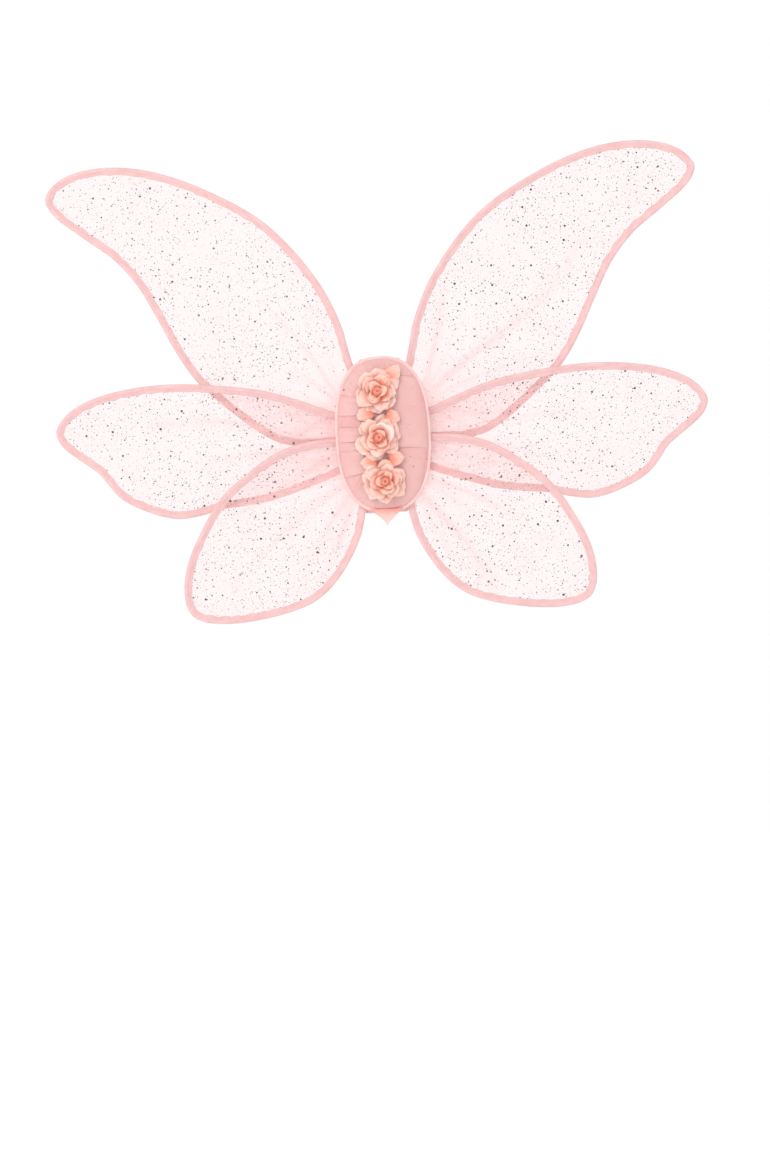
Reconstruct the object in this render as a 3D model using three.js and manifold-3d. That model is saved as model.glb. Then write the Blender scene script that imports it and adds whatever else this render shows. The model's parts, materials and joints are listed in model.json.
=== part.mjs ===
// Child's fairy wings, in millimetres, +Z up.
// The decorated face looks toward -Y and the wearer is on the +Y side.
// The origin is the middle of the flat face that rests on the wearer's back.
//
// Six wire hoops in fabric casings, three on each side, carry organza.
// They are sewn and taped into a padded oval hub with three fabric roses, and
// two elastic loops behind the hub go round the wearer's shoulders.

import * as THREE from 'three';
import { mergeVertices } from 'three/addons/utils/BufferGeometryUtils.js';
import Module from 'manifold-3d';

const wasm = await Module();
wasm.setup();

// ---------------------------------------------------------------- dimensions

const TOUCHING_GAP = 0.3;          // between pieces that are sewn or laid together

// hub outline: a slightly boxy oval
const HUB_HALF_WIDTH = 44;
const HUB_HALF_HEIGHT = 72;
const HUB_BOXINESS = 2.5;
const HUB_OUTLINE_POINTS = 36;

// hub, from the wearer's side to the front
const BACK_PAD_INSET = 4;
const BACK_PAD_THICKNESS = 5;
const BACK_PAD_ROUNDING = 1.5;
const CORE_INSET = 3;
const CORE_THICKNESS = 2.2;
const SIDE_BAND_INSET = 1;
const SIDE_BAND_THICKNESS = 1.5;
const FRONT_PAD_THICKNESS = 12;
const FRONT_PAD_ROUNDING = 9;
const BINDING_WIDTH = 3.7;
const BINDING_THICKNESS = 4.5;
const COVER_THICKNESS = 0.8;

// wing hoops
const WIRE_RADIUS = 1.2;
const BORE_RADIUS = 1.6;
const CASING_RADIUS = 2.6;
const ORGANZA_THICKNESS = 0.8;
const LAYER_STEP = 5;              // depth from one layer of wings to the next
const CORE_TO_CASING = 0.8;        // room between the core plate and the rear layer
const CASING_TO_PAD = 0.5;         // room between the front layer and the front pad
const FAN_ANGLE = 4;               // degrees by which the layers open away from each other
const BEND_GAP = 2.3;              // bare wire on each side of the bend at a root
const ORGANZA_ROOT = 9;            // distance of the organza's inner edge from the bend line
const CASING_SIDES = 8;
const WIRE_SIDES = 5;
const STRETCHES_PER_POINT = 2;     // straight stretches between two points of a hoop
const TAIL_CLEARANCE = 0.4;        // round a wire tail where it passes through the hub
const TAIL_STRETCHES = 3;

// strips of tape and glue that hold the wire tails on the core plate
const STRIP_CENTRE = 17;
const STRIP_WIDTH = 12;
const STRIP_HALF_HEIGHT = 52;
const TAIL_END_IN_STRIP = 5;       // how far a tail's end lies inside the strip

// elastic loops
const STRAP_WIDTH = 10;
const STRAP_THICKNESS = 1.4;
const STRAP_SPACING = 26;          // between the middles of the two loops
const STRAP_DEPTH = 92;            // how far a loop stands away from the hub
const STRAP_CORNER = 34;
const STRAP_RISE = 1.9;            // how far a loop rises over the tab that holds it
const STRAP_RISE_DEPTH = 5;        // depth at which it is at its highest
const STRAP_MIDWAY_DROP = 3;       // how far it has come down halfway along its upper run
const STRAP_TURN_DROP = 14;        // and where it starts to turn down
const STRAP_SPLAY = 4;            // degrees by which a loop leans outward
const TAB_LENGTH = 17;
const TAB_DEPTH = 4;               // middle of a tab behind the rest face
const TAB_PAST_PAD = 0.6;

// roses: heights of their middles on the hub, and their overall sizes
const ROSES = [
  { name: 'top', x: -3.5, z: 39, radius: 19 },
  { name: 'middle', x: -4, z: -3.5, radius: 19 },
  { name: 'bottom', x: -0.5, z: -44, radius: 18.5 },
];
const ROSE_HEIGHT = 17;
const ROSE_SIDES = 12;

// pointed petal under the lowest edge of the hub
const PETAL_WIDTH = 30;
const PETAL_LENGTH = 16;
const PETAL_THICKNESS = 1.2;

// Middle line of each hoop as [out from the hub's middle, up]. The first and
// last points are the bends, where the wire leaves its fixed tail.
const WINGS = [
  {
    name: 'upper', layer: 1,
    hoop: [
      [31.5, 86], [34, 98], [52, 140], [98, 198], [150, 232], [200, 253], [245, 260],
      [284, 253], [301, 236], [291, 218], [243, 180], [218, 150], [190, 95], [170, 62],
      [141, 33], [98, 1], [72, -4.8], [54.5, -4.5],
    ],
    tailBends: [[26, 64], [43.5, -4.3]],
    tailEndHeights: [38, -4.2],
  },
  {
    name: 'middle', layer: 0,
    hoop: [
      [48.5, 22.5], [100, 42], [150, 51], [200, 54.5], [250, 49], [284, 36], [299, 18],
      [293, 4], [262, -21], [245, -43], [222, -57], [190, -66], [150, -59], [105, -53],
      [48.5, -35],
    ],
    tailBends: [[44, 20.8], [40.5, -31.5]],
    tailEndHeights: [14, -22],
  },
  {
    name: 'lower', layer: -1,
    hoop: [
      [47, -3.5], [70, -5.5], [98, -14], [125, -31], [150, -52], [169, -80], [184, -112],
      [188, -140], [182, -157], [163, -164], [125, -163], [74, -150], [50, -130],
      [33, -104], [26, -88.5],
    ],
    tailBends: [[43.5, -3.3], [21.5, -68]],
    tailEndHeights: [-3.2, -44],
  },
];

// ------------------------------------------------------- depths through the hub

const backPadFront = -BACK_PAD_THICKNESS;
const coreRear = backPadFront - TOUCHING_GAP;
const coreFront = coreRear - CORE_THICKNESS;
const upperDepth = coreFront - CORE_TO_CASING - CASING_RADIUS;
const layerDepth = (layer) => upperDepth - (1 - layer) * LAYER_STEP;
const frontPadRear = layerDepth(-1) - CASING_RADIUS - CASING_TO_PAD;
const coverFront = frontPadRear - FRONT_PAD_THICKNESS - TOUCHING_GAP - COVER_THICKNESS;
const frontPadInset = BINDING_WIDTH + TOUCHING_GAP + COVER_THICKNESS + TOUCHING_GAP;

// ------------------------------------------------------------------ materials

const finish = (color, roughness, metalness = 0) =>
  new THREE.MeshStandardMaterial({ color, roughness, metalness });
const STEEL = finish(0xb9bcc2, 0.4, 1);
const CASING_FABRIC = finish(0xf0b4b4, 0.8);
const ORGANZA = finish(0xf8e3e3, 0.5);
const HUB_SATIN = finish(0xf6c4be, 0.6);
const FELT = finish(0xf2c9c6, 0.95);
const CORE_BOARD = finish(0xe6dfd3, 0.7);
const TAPE = finish(0xe9e1da, 0.6);
const ROSE_PEACH = finish(0xfbd3c4, 0.7);
const ROSE_CORAL = finish(0xf49a80, 0.7);
const ELASTIC = finish(0xf4c6c4, 0.85);

// ------------------------------------------------------------- geometry helpers

const group = new THREE.Group();

function addPiece(parent, name, geometry, material) {
  const mesh = new THREE.Mesh(geometry, material);
  mesh.name = name;
  parent.add(mesh);
  return mesh;
}

// a flat outline as a Shape, from points or from a round hole
function shapeOf(points) {
  return new THREE.Shape(points.map(([x, y]) => new THREE.Vector2(x, y)));
}

function roundSection(radius, sides, boreRadius = 0, boreSides = WIRE_SIDES) {
  const ring = (r, n) => Array.from({ length: n }, (_, i) => {
    const angle = (2 * Math.PI * i) / n;
    return [r * Math.cos(angle), r * Math.sin(angle)];
  });
  const section = shapeOf(ring(radius, sides));
  if (boreRadius > 0) section.holes.push(shapeOf(ring(boreRadius, boreSides)));
  return section;
}

// a section swept along a smooth path
function sweep(section, path, steps) {
  return new THREE.ExtrudeGeometry(section, { steps, extrudePath: path, bevelEnabled: false });
}

// an outline in the x-z plane given thickness from yRear toward the front
function slab(outline, yRear, thickness, rounding = 0, roundingSteps = 4) {
  const options = rounding > 0
    ? {
      depth: thickness - 2 * Math.min(rounding, thickness / 2 - 0.5),
      bevelThickness: Math.min(rounding, thickness / 2 - 0.5),
      bevelSize: rounding,
      bevelOffset: -rounding,
      bevelSegments: roundingSteps,
    }
    : { depth: thickness, bevelEnabled: false };
  const geometry = new THREE.ExtrudeGeometry(outline, options);
  geometry.rotateX(Math.PI / 2);
  geometry.computeBoundingBox();
  geometry.translate(0, yRear - geometry.boundingBox.max.y, 0);
  return geometry;
}

// the hub's outline, drawn in by an inset
function hubOutline(inset) {
  const points = [];
  for (let i = 0; i < HUB_OUTLINE_POINTS; i += 1) {
    const angle = (2 * Math.PI * i) / HUB_OUTLINE_POINTS;
    const across = Math.sign(Math.cos(angle)) * Math.abs(Math.cos(angle)) ** (2 / HUB_BOXINESS);
    const up = Math.sign(Math.sin(angle)) * Math.abs(Math.sin(angle)) ** (2 / HUB_BOXINESS);
    points.push([(HUB_HALF_WIDTH - inset) * across, (HUB_HALF_HEIGHT - inset) * up]);
  }
  return points;
}

function hubRing(outerInset, innerInset) {
  const ring = shapeOf(hubOutline(outerInset));
  ring.holes.push(shapeOf(hubOutline(innerInset)));
  return ring;
}

function solidOf(geometry) {
  const bare = geometry.index ? geometry.toNonIndexed() : geometry.clone();
  bare.deleteAttribute('normal');
  bare.deleteAttribute('uv');
  const merged = mergeVertices(bare, 1e-4);
  return new wasm.Manifold(new wasm.Mesh({
    numProp: 3,
    vertProperties: new Float32Array(merged.attributes.position.array),
    triVerts: new Uint32Array(merged.index.array),
  }));
}

function geometryOf(solid) {
  const mesh = solid.getMesh();
  const geometry = new THREE.BufferGeometry();
  geometry.setAttribute('position', new THREE.BufferAttribute(mesh.vertProperties, 3));
  geometry.setIndex(new THREE.BufferAttribute(mesh.triVerts, 1));
  geometry.computeVertexNormals();
  return geometry;
}

function cut(geometry, cutters) {
  let solid = solidOf(geometry);
  for (const cutter of cutters) solid = solid.subtract(solidOf(cutter));
  return geometryOf(solid);
}

function boxBetween([x0, y0, z0], [x1, y1, z1]) {
  const geometry = new THREE.BoxGeometry(x1 - x0, y1 - y0, z1 - z0);
  geometry.translate((x0 + x1) / 2, (y0 + y1) / 2, (z0 + z1) / 2);
  return geometry;
}

// ------------------------------------------------------------------------ wings

const SIDES = [{ name: 'left', sign: -1 }, { name: 'right', sign: 1 }];

// the fixed tails of a wing's wire, from inside the hub to just short of its bends
function tailPaths(wing, sign) {
  const y = layerDepth(wing.layer);
  const ends = [wing.hoop[0], wing.hoop.at(-1)];
  return ends.map((bend, i) => {
    const innerEnd = [STRIP_CENTRE + STRIP_WIDTH / 2 - TAIL_END_IN_STRIP, wing.tailEndHeights[i]];
    const onRim = wing.tailBends[i];
    const toBend = new THREE.Vector2(bend[0] - onRim[0], bend[1] - onRim[1]);
    const outerEnd = toBend.clone().setLength(toBend.length() - BEND_GAP);
    const route = [innerEnd, onRim, [onRim[0] + outerEnd.x, onRim[1] + outerEnd.y]];
    return new THREE.CatmullRomCurve3(
      route.map(([x, z]) => new THREE.Vector3(sign * x, y, z)), false, 'centripetal');
  });
}

function tailGeometry(path, radius) {
  return sweep(roundSection(radius, CASING_SIDES), path, TAIL_STRETCHES);
}

// A smooth curve that is swept in equal shares between its points, so that
// tight bends, where the points are close, get short straight stretches.
class HoopCurve extends THREE.CatmullRomCurve3 {
  getUtoTmapping(u) {
    return u;
  }
}

// the hoop without the bare wire next to its two bends
function coveredHoop(points) {
  const whole = new THREE.CatmullRomCurve3(points, false, 'centripetal');
  const share = BEND_GAP / whole.getLength();
  const covered = [whole.getPointAt(share), ...points.slice(1, -1), whole.getPointAt(1 - share)];
  return new HoopCurve(covered, false, 'centripetal');
}

// The organza fills the hoop up to the casing, and stops short of the bend line.
// Its corners follow the straight stretches that the casing is swept along.
function organzaOutline(stretches, hinge) {
  const inset = CASING_RADIUS + TOUCHING_GAP;
  const facing = Math.sign(hinge.outward.x);
  const inwardOf = (from, to) => {
    const along = to.clone().sub(from).normalize();
    return new THREE.Vector3(along.z, 0, -along.x).multiplyScalar(facing);
  };
  const outline = stretches.map((point, i) => {
    const before = inwardOf(stretches[Math.max(i - 1, 0)], stretches[Math.max(i, 1)]);
    const last = stretches.length - 1;
    const after = inwardOf(stretches[Math.min(i, last - 1)], stretches[Math.min(i + 1, last)]);
    const corner = before.clone().add(after).normalize();
    return point.clone().addScaledVector(corner, inset / corner.dot(before));
  });
  const reach = (point) => point.clone().sub(hinge.point).dot(hinge.outward);
  const kept = outline.filter((point) => reach(point) > ORGANZA_ROOT);
  const rootPoint = (inside, outside) => {
    const share = (ORGANZA_ROOT - reach(inside)) / (reach(outside) - reach(inside));
    return inside.clone().lerp(outside, share);
  };
  const first = outline.indexOf(kept[0]);
  const last = outline.indexOf(kept.at(-1));
  kept.unshift(rootPoint(outline[first], outline[first - 1]));
  kept.push(rootPoint(outline[last], outline[last + 1]));
  return kept;
}

function addWing(wing, side) {
  const y = layerDepth(wing.layer);
  const points = wing.hoop.map(([x, z]) => new THREE.Vector3(side.sign * x, y, z));
  const top = points[0];
  const bottom = points.at(-1);
  const axis = side.sign < 0 ? top.clone().sub(bottom) : bottom.clone().sub(top);
  axis.normalize();
  const outward = new THREE.Vector3(0, -1, 0).cross(axis);
  const hinge = { point: bottom.clone(), axis, outward };

  // everything in a wing is drawn from its bend line and fanned about it
  const wingGroup = new THREE.Group();
  wingGroup.position.copy(hinge.point);
  wingGroup.quaternion.setFromAxisAngle(axis, THREE.MathUtils.degToRad(-wing.layer * FAN_ANGLE));
  group.add(wingGroup);
  const local = points.map((point) => point.clone().sub(hinge.point));
  const localHinge = { point: new THREE.Vector3(), outward };
  const covered = coveredHoop(local);
  const steps = STRETCHES_PER_POINT * (local.length - 1);
  const label = `${side.name}_${wing.name}`;
  addPiece(wingGroup, `${label}_casing`,
    sweep(roundSection(CASING_RADIUS, CASING_SIDES, BORE_RADIUS), covered, steps), CASING_FABRIC);
  addPiece(wingGroup, `${label}_wire`,
    sweep(roundSection(WIRE_RADIUS, WIRE_SIDES), covered, steps), STEEL);

  const outline = organzaOutline(covered.getPoints(steps), localHinge);
  const organza = slab(shapeOf(outline.map((p) => [p.x, p.z])), ORGANZA_THICKNESS / 2,
    ORGANZA_THICKNESS);
  addPiece(wingGroup, `${label}_organza`, organza, ORGANZA);

  tailPaths(wing, side.sign).forEach((path, i) => {
    const end = i === 0 ? 'top' : 'bottom';
    addPiece(group, `${label}_tail_${end}`, tailGeometry(path, CASING_RADIUS), CASING_FABRIC);
  });
}

for (const side of SIDES) {
  for (const wing of WINGS) addWing(wing, side);
}

// -------------------------------------------------------------------------- hub

const tailClearances = SIDES.flatMap((side) => WINGS.flatMap((wing) =>
  tailPaths(wing, side.sign).map((path) => tailGeometry(path, CASING_RADIUS + TAIL_CLEARANCE))));

const strapPadEdge = HUB_HALF_HEIGHT - BACK_PAD_INSET;
const tabOuterEnd = strapPadEdge + TAB_PAST_PAD;
const tabInnerEnd = tabOuterEnd - TAB_LENGTH;

function tabBox(sideSign, endSign, margin) {
  const x = (sideSign * STRAP_SPACING) / 2;
  const zEnds = [endSign * (tabInnerEnd - margin), endSign * (tabOuterEnd + margin)];
  zEnds.sort((a, b) => a - b);
  return boxBetween(
    [x - STRAP_WIDTH / 2 - margin, -TAB_DEPTH - STRAP_THICKNESS / 2 - margin, zEnds[0]],
    [x + STRAP_WIDTH / 2 + margin, -TAB_DEPTH + STRAP_THICKNESS / 2 + margin, zEnds[1]]);
}

const tabPockets = [];
for (const side of SIDES) {
  for (const endSign of [-1, 1]) {
    tabPockets.push(tabBox(side.sign, endSign, TOUCHING_GAP));
    const pocketToFront = tabBox(side.sign, endSign, TOUCHING_GAP);
    pocketToFront.translate(0, -1, 0);
    tabPockets.push(pocketToFront);
  }
}

addPiece(group, 'back_pad',
  cut(slab(shapeOf(hubOutline(BACK_PAD_INSET)), 0, BACK_PAD_THICKNESS, BACK_PAD_ROUNDING, 2),
    tabPockets), FELT);
addPiece(group, 'core_plate',
  slab(shapeOf(hubOutline(CORE_INSET)), coreRear, CORE_THICKNESS), CORE_BOARD);

const bandRear = coreFront - TOUCHING_GAP;
const bandDepth = bandRear - (frontPadRear + TOUCHING_GAP);
addPiece(group, 'side_band',
  cut(slab(hubRing(SIDE_BAND_INSET, SIDE_BAND_INSET + SIDE_BAND_THICKNESS), bandRear, bandDepth),
    tailClearances), HUB_SATIN);

for (const side of SIDES) {
  const inner = STRIP_CENTRE - STRIP_WIDTH / 2;
  const outer = STRIP_CENTRE + STRIP_WIDTH / 2;
  const xs = [side.sign * inner, side.sign * outer].sort((a, b) => a - b);
  const strip = boxBetween([xs[0], frontPadRear + TOUCHING_GAP, -STRIP_HALF_HEIGHT],
    [xs[1], bandRear, STRIP_HALF_HEIGHT]);
  addPiece(group, `${side.name}_tail_strip`, cut(strip, tailClearances), TAPE);
}

addPiece(group, 'front_pad',
  slab(shapeOf(hubOutline(frontPadInset)), frontPadRear, FRONT_PAD_THICKNESS,
    FRONT_PAD_ROUNDING), HUB_SATIN);

addPiece(group, 'front_binding',
  slab(hubRing(0, BINDING_WIDTH), frontPadRear, BINDING_THICKNESS, 1, 1), HUB_SATIN);

// the cover is a thin gathered skin over the front of the pad
const coverInset = BINDING_WIDTH + TOUCHING_GAP;
const coverDepth = COVER_THICKNESS + TOUCHING_GAP;
const coverOutside = slab(shapeOf(hubOutline(coverInset)), frontPadRear + coverDepth,
  FRONT_PAD_THICKNESS + 2 * coverDepth, FRONT_PAD_ROUNDING + coverDepth);
const coverInside = slab(shapeOf(hubOutline(frontPadInset - TOUCHING_GAP)),
  frontPadRear + TOUCHING_GAP, FRONT_PAD_THICKNESS + 2 * TOUCHING_GAP,
  FRONT_PAD_ROUNDING + TOUCHING_GAP);
const behindCover = boxBetween(
  [-2 * HUB_HALF_WIDTH, frontPadRear - FRONT_PAD_THICKNESS / 2, -2 * HUB_HALF_HEIGHT],
  [2 * HUB_HALF_WIDTH, 0, 2 * HUB_HALF_HEIGHT]);
addPiece(group, 'front_cover', cut(coverOutside, [coverInside, behindCover]), HUB_SATIN);

const petalTop = -(HUB_HALF_HEIGHT - BINDING_WIDTH + TOUCHING_GAP);
const petal = new THREE.Shape();
petal.moveTo(-PETAL_WIDTH / 2, petalTop);
petal.quadraticCurveTo(-PETAL_WIDTH / 2, petalTop - PETAL_LENGTH / 2, 0, petalTop - PETAL_LENGTH);
petal.quadraticCurveTo(PETAL_WIDTH / 2, petalTop - PETAL_LENGTH / 2, PETAL_WIDTH / 2, petalTop);
petal.closePath();
addPiece(group, 'bottom_petal',
  slab(petal, frontPadRear - BINDING_THICKNESS - TOUCHING_GAP, PETAL_THICKNESS), ROSE_PEACH);

// ------------------------------------------------------------------------ roses

// Each rose is two open cups of petals, one inside the other, round a bud.
// A profile is [share of the rose's radius, share of its height], from the axis out and back.
const ROSE_CUPS = [
  {
    name: 'outer_petals', material: ROSE_PEACH,
    profile: [[0, 0], [0.72, 0], [1, 0.3], [0.97, 0.5], [0.78, 0.42], [0.52, 0.2], [0, 0.2]],
  },
  {
    name: 'inner_petals', material: ROSE_PEACH,
    profile: [[0, 0.23], [0.48, 0.23], [0.7, 0.5], [0.66, 0.78], [0.5, 0.7], [0.3, 0.42], [0, 0.42]],
  },
  {
    name: 'bud', material: ROSE_CORAL,
    profile: [[0, 0.45], [0.24, 0.45], [0.4, 0.72], [0.3, 0.95], [0.1, 1], [0, 0.92]],
  },
];

for (const rose of ROSES) {
  for (const cup of ROSE_CUPS) {
    const profile = cup.profile.map(([r, h]) => new THREE.Vector2(r * rose.radius, h * ROSE_HEIGHT));
    const geometry = new THREE.LatheGeometry(profile, ROSE_SIDES);
    geometry.rotateX(Math.PI);
    const mesh = addPiece(group, `rose_${rose.name}_${cup.name}`, geometry, cup.material);
    mesh.position.set(rose.x, coverFront - TOUCHING_GAP, rose.z);
  }
}

// ----------------------------------------------------------------- elastic loops

const strapSection = shapeOf([
  [-STRAP_WIDTH / 2, -STRAP_THICKNESS / 2], [STRAP_WIDTH / 2, -STRAP_THICKNESS / 2],
  [STRAP_WIDTH / 2, STRAP_THICKNESS / 2], [-STRAP_WIDTH / 2, STRAP_THICKNESS / 2],
]);

// half of a loop as [depth behind the tabs' line, height], from its sewn end to its middle
const strapStart = tabOuterEnd + TOUCHING_GAP;
const strapCrown = strapStart + STRAP_RISE;
const halfStrap = [
  [0, strapStart],
  [0.3, strapStart + STRAP_RISE / 2],
  [STRAP_RISE_DEPTH, strapCrown],
  [STRAP_DEPTH * 0.45, strapCrown - STRAP_MIDWAY_DROP],
  [STRAP_DEPTH - STRAP_CORNER * 0.55, strapCrown - STRAP_TURN_DROP],
  [STRAP_DEPTH - 5, strapCrown - STRAP_CORNER - 3],
];

for (const side of SIDES) {
  const points = [
    ...halfStrap, [STRAP_DEPTH, 0], ...halfStrap.map(([d, z]) => [d, -z]).reverse(),
  ].map(([depth, z]) => new THREE.Vector3(0, depth, z));
  const path = new THREE.CatmullRomCurve3(points, false, 'centripetal');
  const strap = addPiece(group, `${side.name}_strap`, sweep(strapSection, path, 40), ELASTIC);
  strap.position.set((side.sign * STRAP_SPACING) / 2, -TAB_DEPTH, 0);
  strap.rotation.z = THREE.MathUtils.degToRad(-side.sign * STRAP_SPLAY);
  for (const end of [{ name: 'top', sign: 1 }, { name: 'bottom', sign: -1 }]) {
    addPiece(group, `${side.name}_strap_tab_${end.name}`, tabBox(side.sign, end.sign, 0), ELASTIC);
  }
}

export default group;
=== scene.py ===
# %% [markdown]
# # A child's fairy wings
# Six wire hoops in pink fabric casings, spanned by glittered organza, grow out of a padded
# oval with three fabric roses. The hard parts come from the CAD frame. Everything soft is
# made here, cell by cell: first the helpers, then the finishes, then the pieces.

# %% Load the frame
import json
import math

import bmesh
import bpy
import numpy as np
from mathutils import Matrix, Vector
from mathutils.geometry import delaunay_2d_cdt


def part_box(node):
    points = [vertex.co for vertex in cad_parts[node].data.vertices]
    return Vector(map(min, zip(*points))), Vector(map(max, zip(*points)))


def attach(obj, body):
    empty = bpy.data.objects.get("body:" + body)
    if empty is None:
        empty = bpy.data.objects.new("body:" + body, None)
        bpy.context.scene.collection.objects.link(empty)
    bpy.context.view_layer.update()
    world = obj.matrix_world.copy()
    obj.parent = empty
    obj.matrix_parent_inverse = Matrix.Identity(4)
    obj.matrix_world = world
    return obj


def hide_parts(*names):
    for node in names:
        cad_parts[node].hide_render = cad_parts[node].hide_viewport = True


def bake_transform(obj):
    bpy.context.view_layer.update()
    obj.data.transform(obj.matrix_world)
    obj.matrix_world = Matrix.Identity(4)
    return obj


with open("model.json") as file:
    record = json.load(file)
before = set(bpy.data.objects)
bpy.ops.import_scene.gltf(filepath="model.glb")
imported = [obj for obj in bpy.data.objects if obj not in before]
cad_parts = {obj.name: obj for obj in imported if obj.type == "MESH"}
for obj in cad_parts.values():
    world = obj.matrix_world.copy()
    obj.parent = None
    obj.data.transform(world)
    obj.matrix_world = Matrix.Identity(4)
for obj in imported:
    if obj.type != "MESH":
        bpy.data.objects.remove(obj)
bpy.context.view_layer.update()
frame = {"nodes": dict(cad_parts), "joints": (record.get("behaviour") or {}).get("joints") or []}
MM = 0.001
SIDES = {"left": -1, "right": 1}
LAYERS = ("upper", "middle", "lower")

# %% [markdown]
# ## Camera, floor and light
# The wings are seen from behind the wearer, level, from three and a half metres, as a long
# lens would take them. The wearer leans a little, so the camera is rolled instead.
# A sweep of pale paper stands in for a studio: floor, curve and wall are one surface, so
# that no line crosses the picture. Thin cloth is mostly seen by what is behind it.

# %% Camera
CAMERA_DISTANCE = 3.5
VIEW_HEIGHT = 1.065          # of the picture, at the wings
CAMERA_ROLL = math.radians(3.0)
HUB_IN_VIEW = (-0.0018, 0.1318)   # the hub's middle, right of and above the picture's middle

camera_data = bpy.data.cameras.new("camera")
camera_data.sensor_fit = "VERTICAL"
camera_data.sensor_height = 36.0
camera_data.lens = 36.0 * CAMERA_DISTANCE / VIEW_HEIGHT
camera_data.clip_end = 50.0
camera = bpy.data.objects.new("camera", camera_data)
bpy.context.scene.collection.objects.link(camera)
right_in_view = Vector((math.cos(CAMERA_ROLL), 0, -math.sin(CAMERA_ROLL)))
up_in_view = Vector((math.sin(CAMERA_ROLL), 0, math.cos(CAMERA_ROLL)))
aim = -HUB_IN_VIEW[0] * right_in_view - HUB_IN_VIEW[1] * up_in_view
camera.location = aim + Vector((0, -CAMERA_DISTANCE - 0.02, 0))
camera.rotation_euler = (math.radians(90), CAMERA_ROLL, 0)
bpy.context.scene.camera = camera
bpy.context.scene.view_settings.view_transform = "Standard"
print("lens", round(camera_data.lens, 1), "mm")


# %% Mesh helpers
def link(name, mesh, material=None, smooth=True):
    """An object from a mesh, with its material."""
    piece = bpy.data.objects.new(name, mesh)
    bpy.context.scene.collection.objects.link(piece)
    if material:
        mesh.materials.append(material)
    mesh.polygons.foreach_set("use_smooth", [smooth] * len(mesh.polygons))
    return piece


def lengths_along(points, closed):
    """Distance along a row of points, with one more entry when the row closes."""
    row = np.vstack([points, points[:1]]) if closed else points
    steps = np.linalg.norm(np.diff(row, axis=0), axis=1)
    return np.concatenate([[0], np.cumsum(steps)])


def grid_data(grid, around=False, along=False, caps=False):
    """Vertices, faces and corner UVs of a grid of points. The UVs are in metres.
    around closes every row on itself, and along closes the last row on the first."""
    grid = np.asarray(grid, float)
    rows, columns = grid.shape[:2]
    v_at = lengths_along(grid[rows // 2], around)
    u_at = lengths_along(grid.mean(axis=1), along)
    faces, uvs = [], []
    for i in range(rows if along else rows - 1):
        for j in range(columns if around else columns - 1):
            corners = ((i, j), (i + 1, j), (i + 1, j + 1), (i, j + 1))
            faces.append([(a % rows) * columns + b % columns for a, b in corners])
            uvs += [(u_at[a], v_at[b]) for a, b in corners]
    if caps:
        for row in (list(range(columns))[::-1], range((rows - 1) * columns, rows * columns)):
            faces.append(list(row))
            uvs += [(0.0, 0.0)] * columns
    return grid.reshape(-1, 3), faces, uvs


def piece_from(name, parts, material, recalculate=True):
    """One object from one or more (vertices, faces, uvs) lists."""
    vertices, faces, uvs = [], [], []
    for part_vertices, part_faces, part_uvs in parts:
        base = len(vertices)
        vertices += [tuple(p) for p in part_vertices]
        faces += [[base + i for i in face] for face in part_faces]
        uvs += part_uvs
    mesh = bpy.data.meshes.new(name)
    mesh.from_pydata(vertices, [], faces)
    layer = mesh.uv_layers.new(name="cloth")
    layer.data.foreach_set("uv", np.array(uvs, np.float32).ravel())
    if recalculate:
        loose = bmesh.new()
        loose.from_mesh(mesh)
        bmesh.ops.recalc_face_normals(loose, faces=loose.faces)
        loose.to_mesh(mesh)
        loose.free()
    return link(name, mesh, material)


def apply_modifiers(piece):
    """The piece's evaluated shape becomes its own mesh."""
    graph = bpy.context.evaluated_depsgraph_get()
    mesh = bpy.data.meshes.new_from_object(piece.evaluated_get(graph))
    piece.modifiers.clear()
    piece.data = mesh
    return piece


def thicken(piece, thickness):
    """Gives a single surface the thickness of its cloth, to both sides."""
    solid = piece.modifiers.new("thickness", "SOLIDIFY")
    solid.thickness = thickness
    solid.offset = 0
    return apply_modifiers(piece)


def smooth_path(knots, spacing):
    """Evenly spaced points on a smooth curve through the knots."""
    knots = np.asarray(knots, float)
    ends = np.vstack([2 * knots[0] - knots[1], knots, 2 * knots[-1] - knots[-2]])
    dense = []
    for p0, p1, p2, p3 in zip(ends, ends[1:], ends[2:], ends[3:]):
        t0, t1, t2, t3 = np.cumsum([0.0] + [max(np.linalg.norm(b - a), 1e-6) ** 0.5
                                            for a, b in ((p0, p1), (p1, p2), (p2, p3))])
        t = np.linspace(t1, t2, 12, endpoint=False)[:, None]
        a1 = (t1 - t) / (t1 - t0) * p0 + (t - t0) / (t1 - t0) * p1
        a2 = (t2 - t) / (t2 - t1) * p1 + (t - t1) / (t2 - t1) * p2
        a3 = (t3 - t) / (t3 - t2) * p2 + (t - t2) / (t3 - t2) * p3
        b1 = (t2 - t) / (t2 - t0) * a1 + (t - t0) / (t2 - t0) * a2
        b2 = (t3 - t) / (t3 - t1) * a2 + (t - t1) / (t3 - t1) * a3
        dense.append((t2 - t) / (t2 - t1) * b1 + (t - t1) / (t2 - t1) * b2)
    dense = np.vstack(dense + [knots[-1:]])
    reach = lengths_along(dense, False)
    wanted = np.linspace(0, reach[-1], max(2, round(reach[-1] / spacing)))
    return np.stack([np.interp(wanted, reach, dense[:, k]) for k in range(3)], axis=1)


def slow_noise(points, size, seed):
    """A soft random value from -1 to 1 that changes over about that size."""
    points = np.asarray(points, float)
    waves = np.random.default_rng(seed)
    total = np.zeros(len(points))
    for _ in range(7):
        direction = waves.normal(size=points.shape[1])
        direction *= waves.uniform(0.6, 1.5) * 2 * math.pi / (size * np.linalg.norm(direction))
        total += np.sin(points @ direction + waves.uniform(0, 2 * math.pi))
    return total / 3.5


print("helpers ready")

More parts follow.
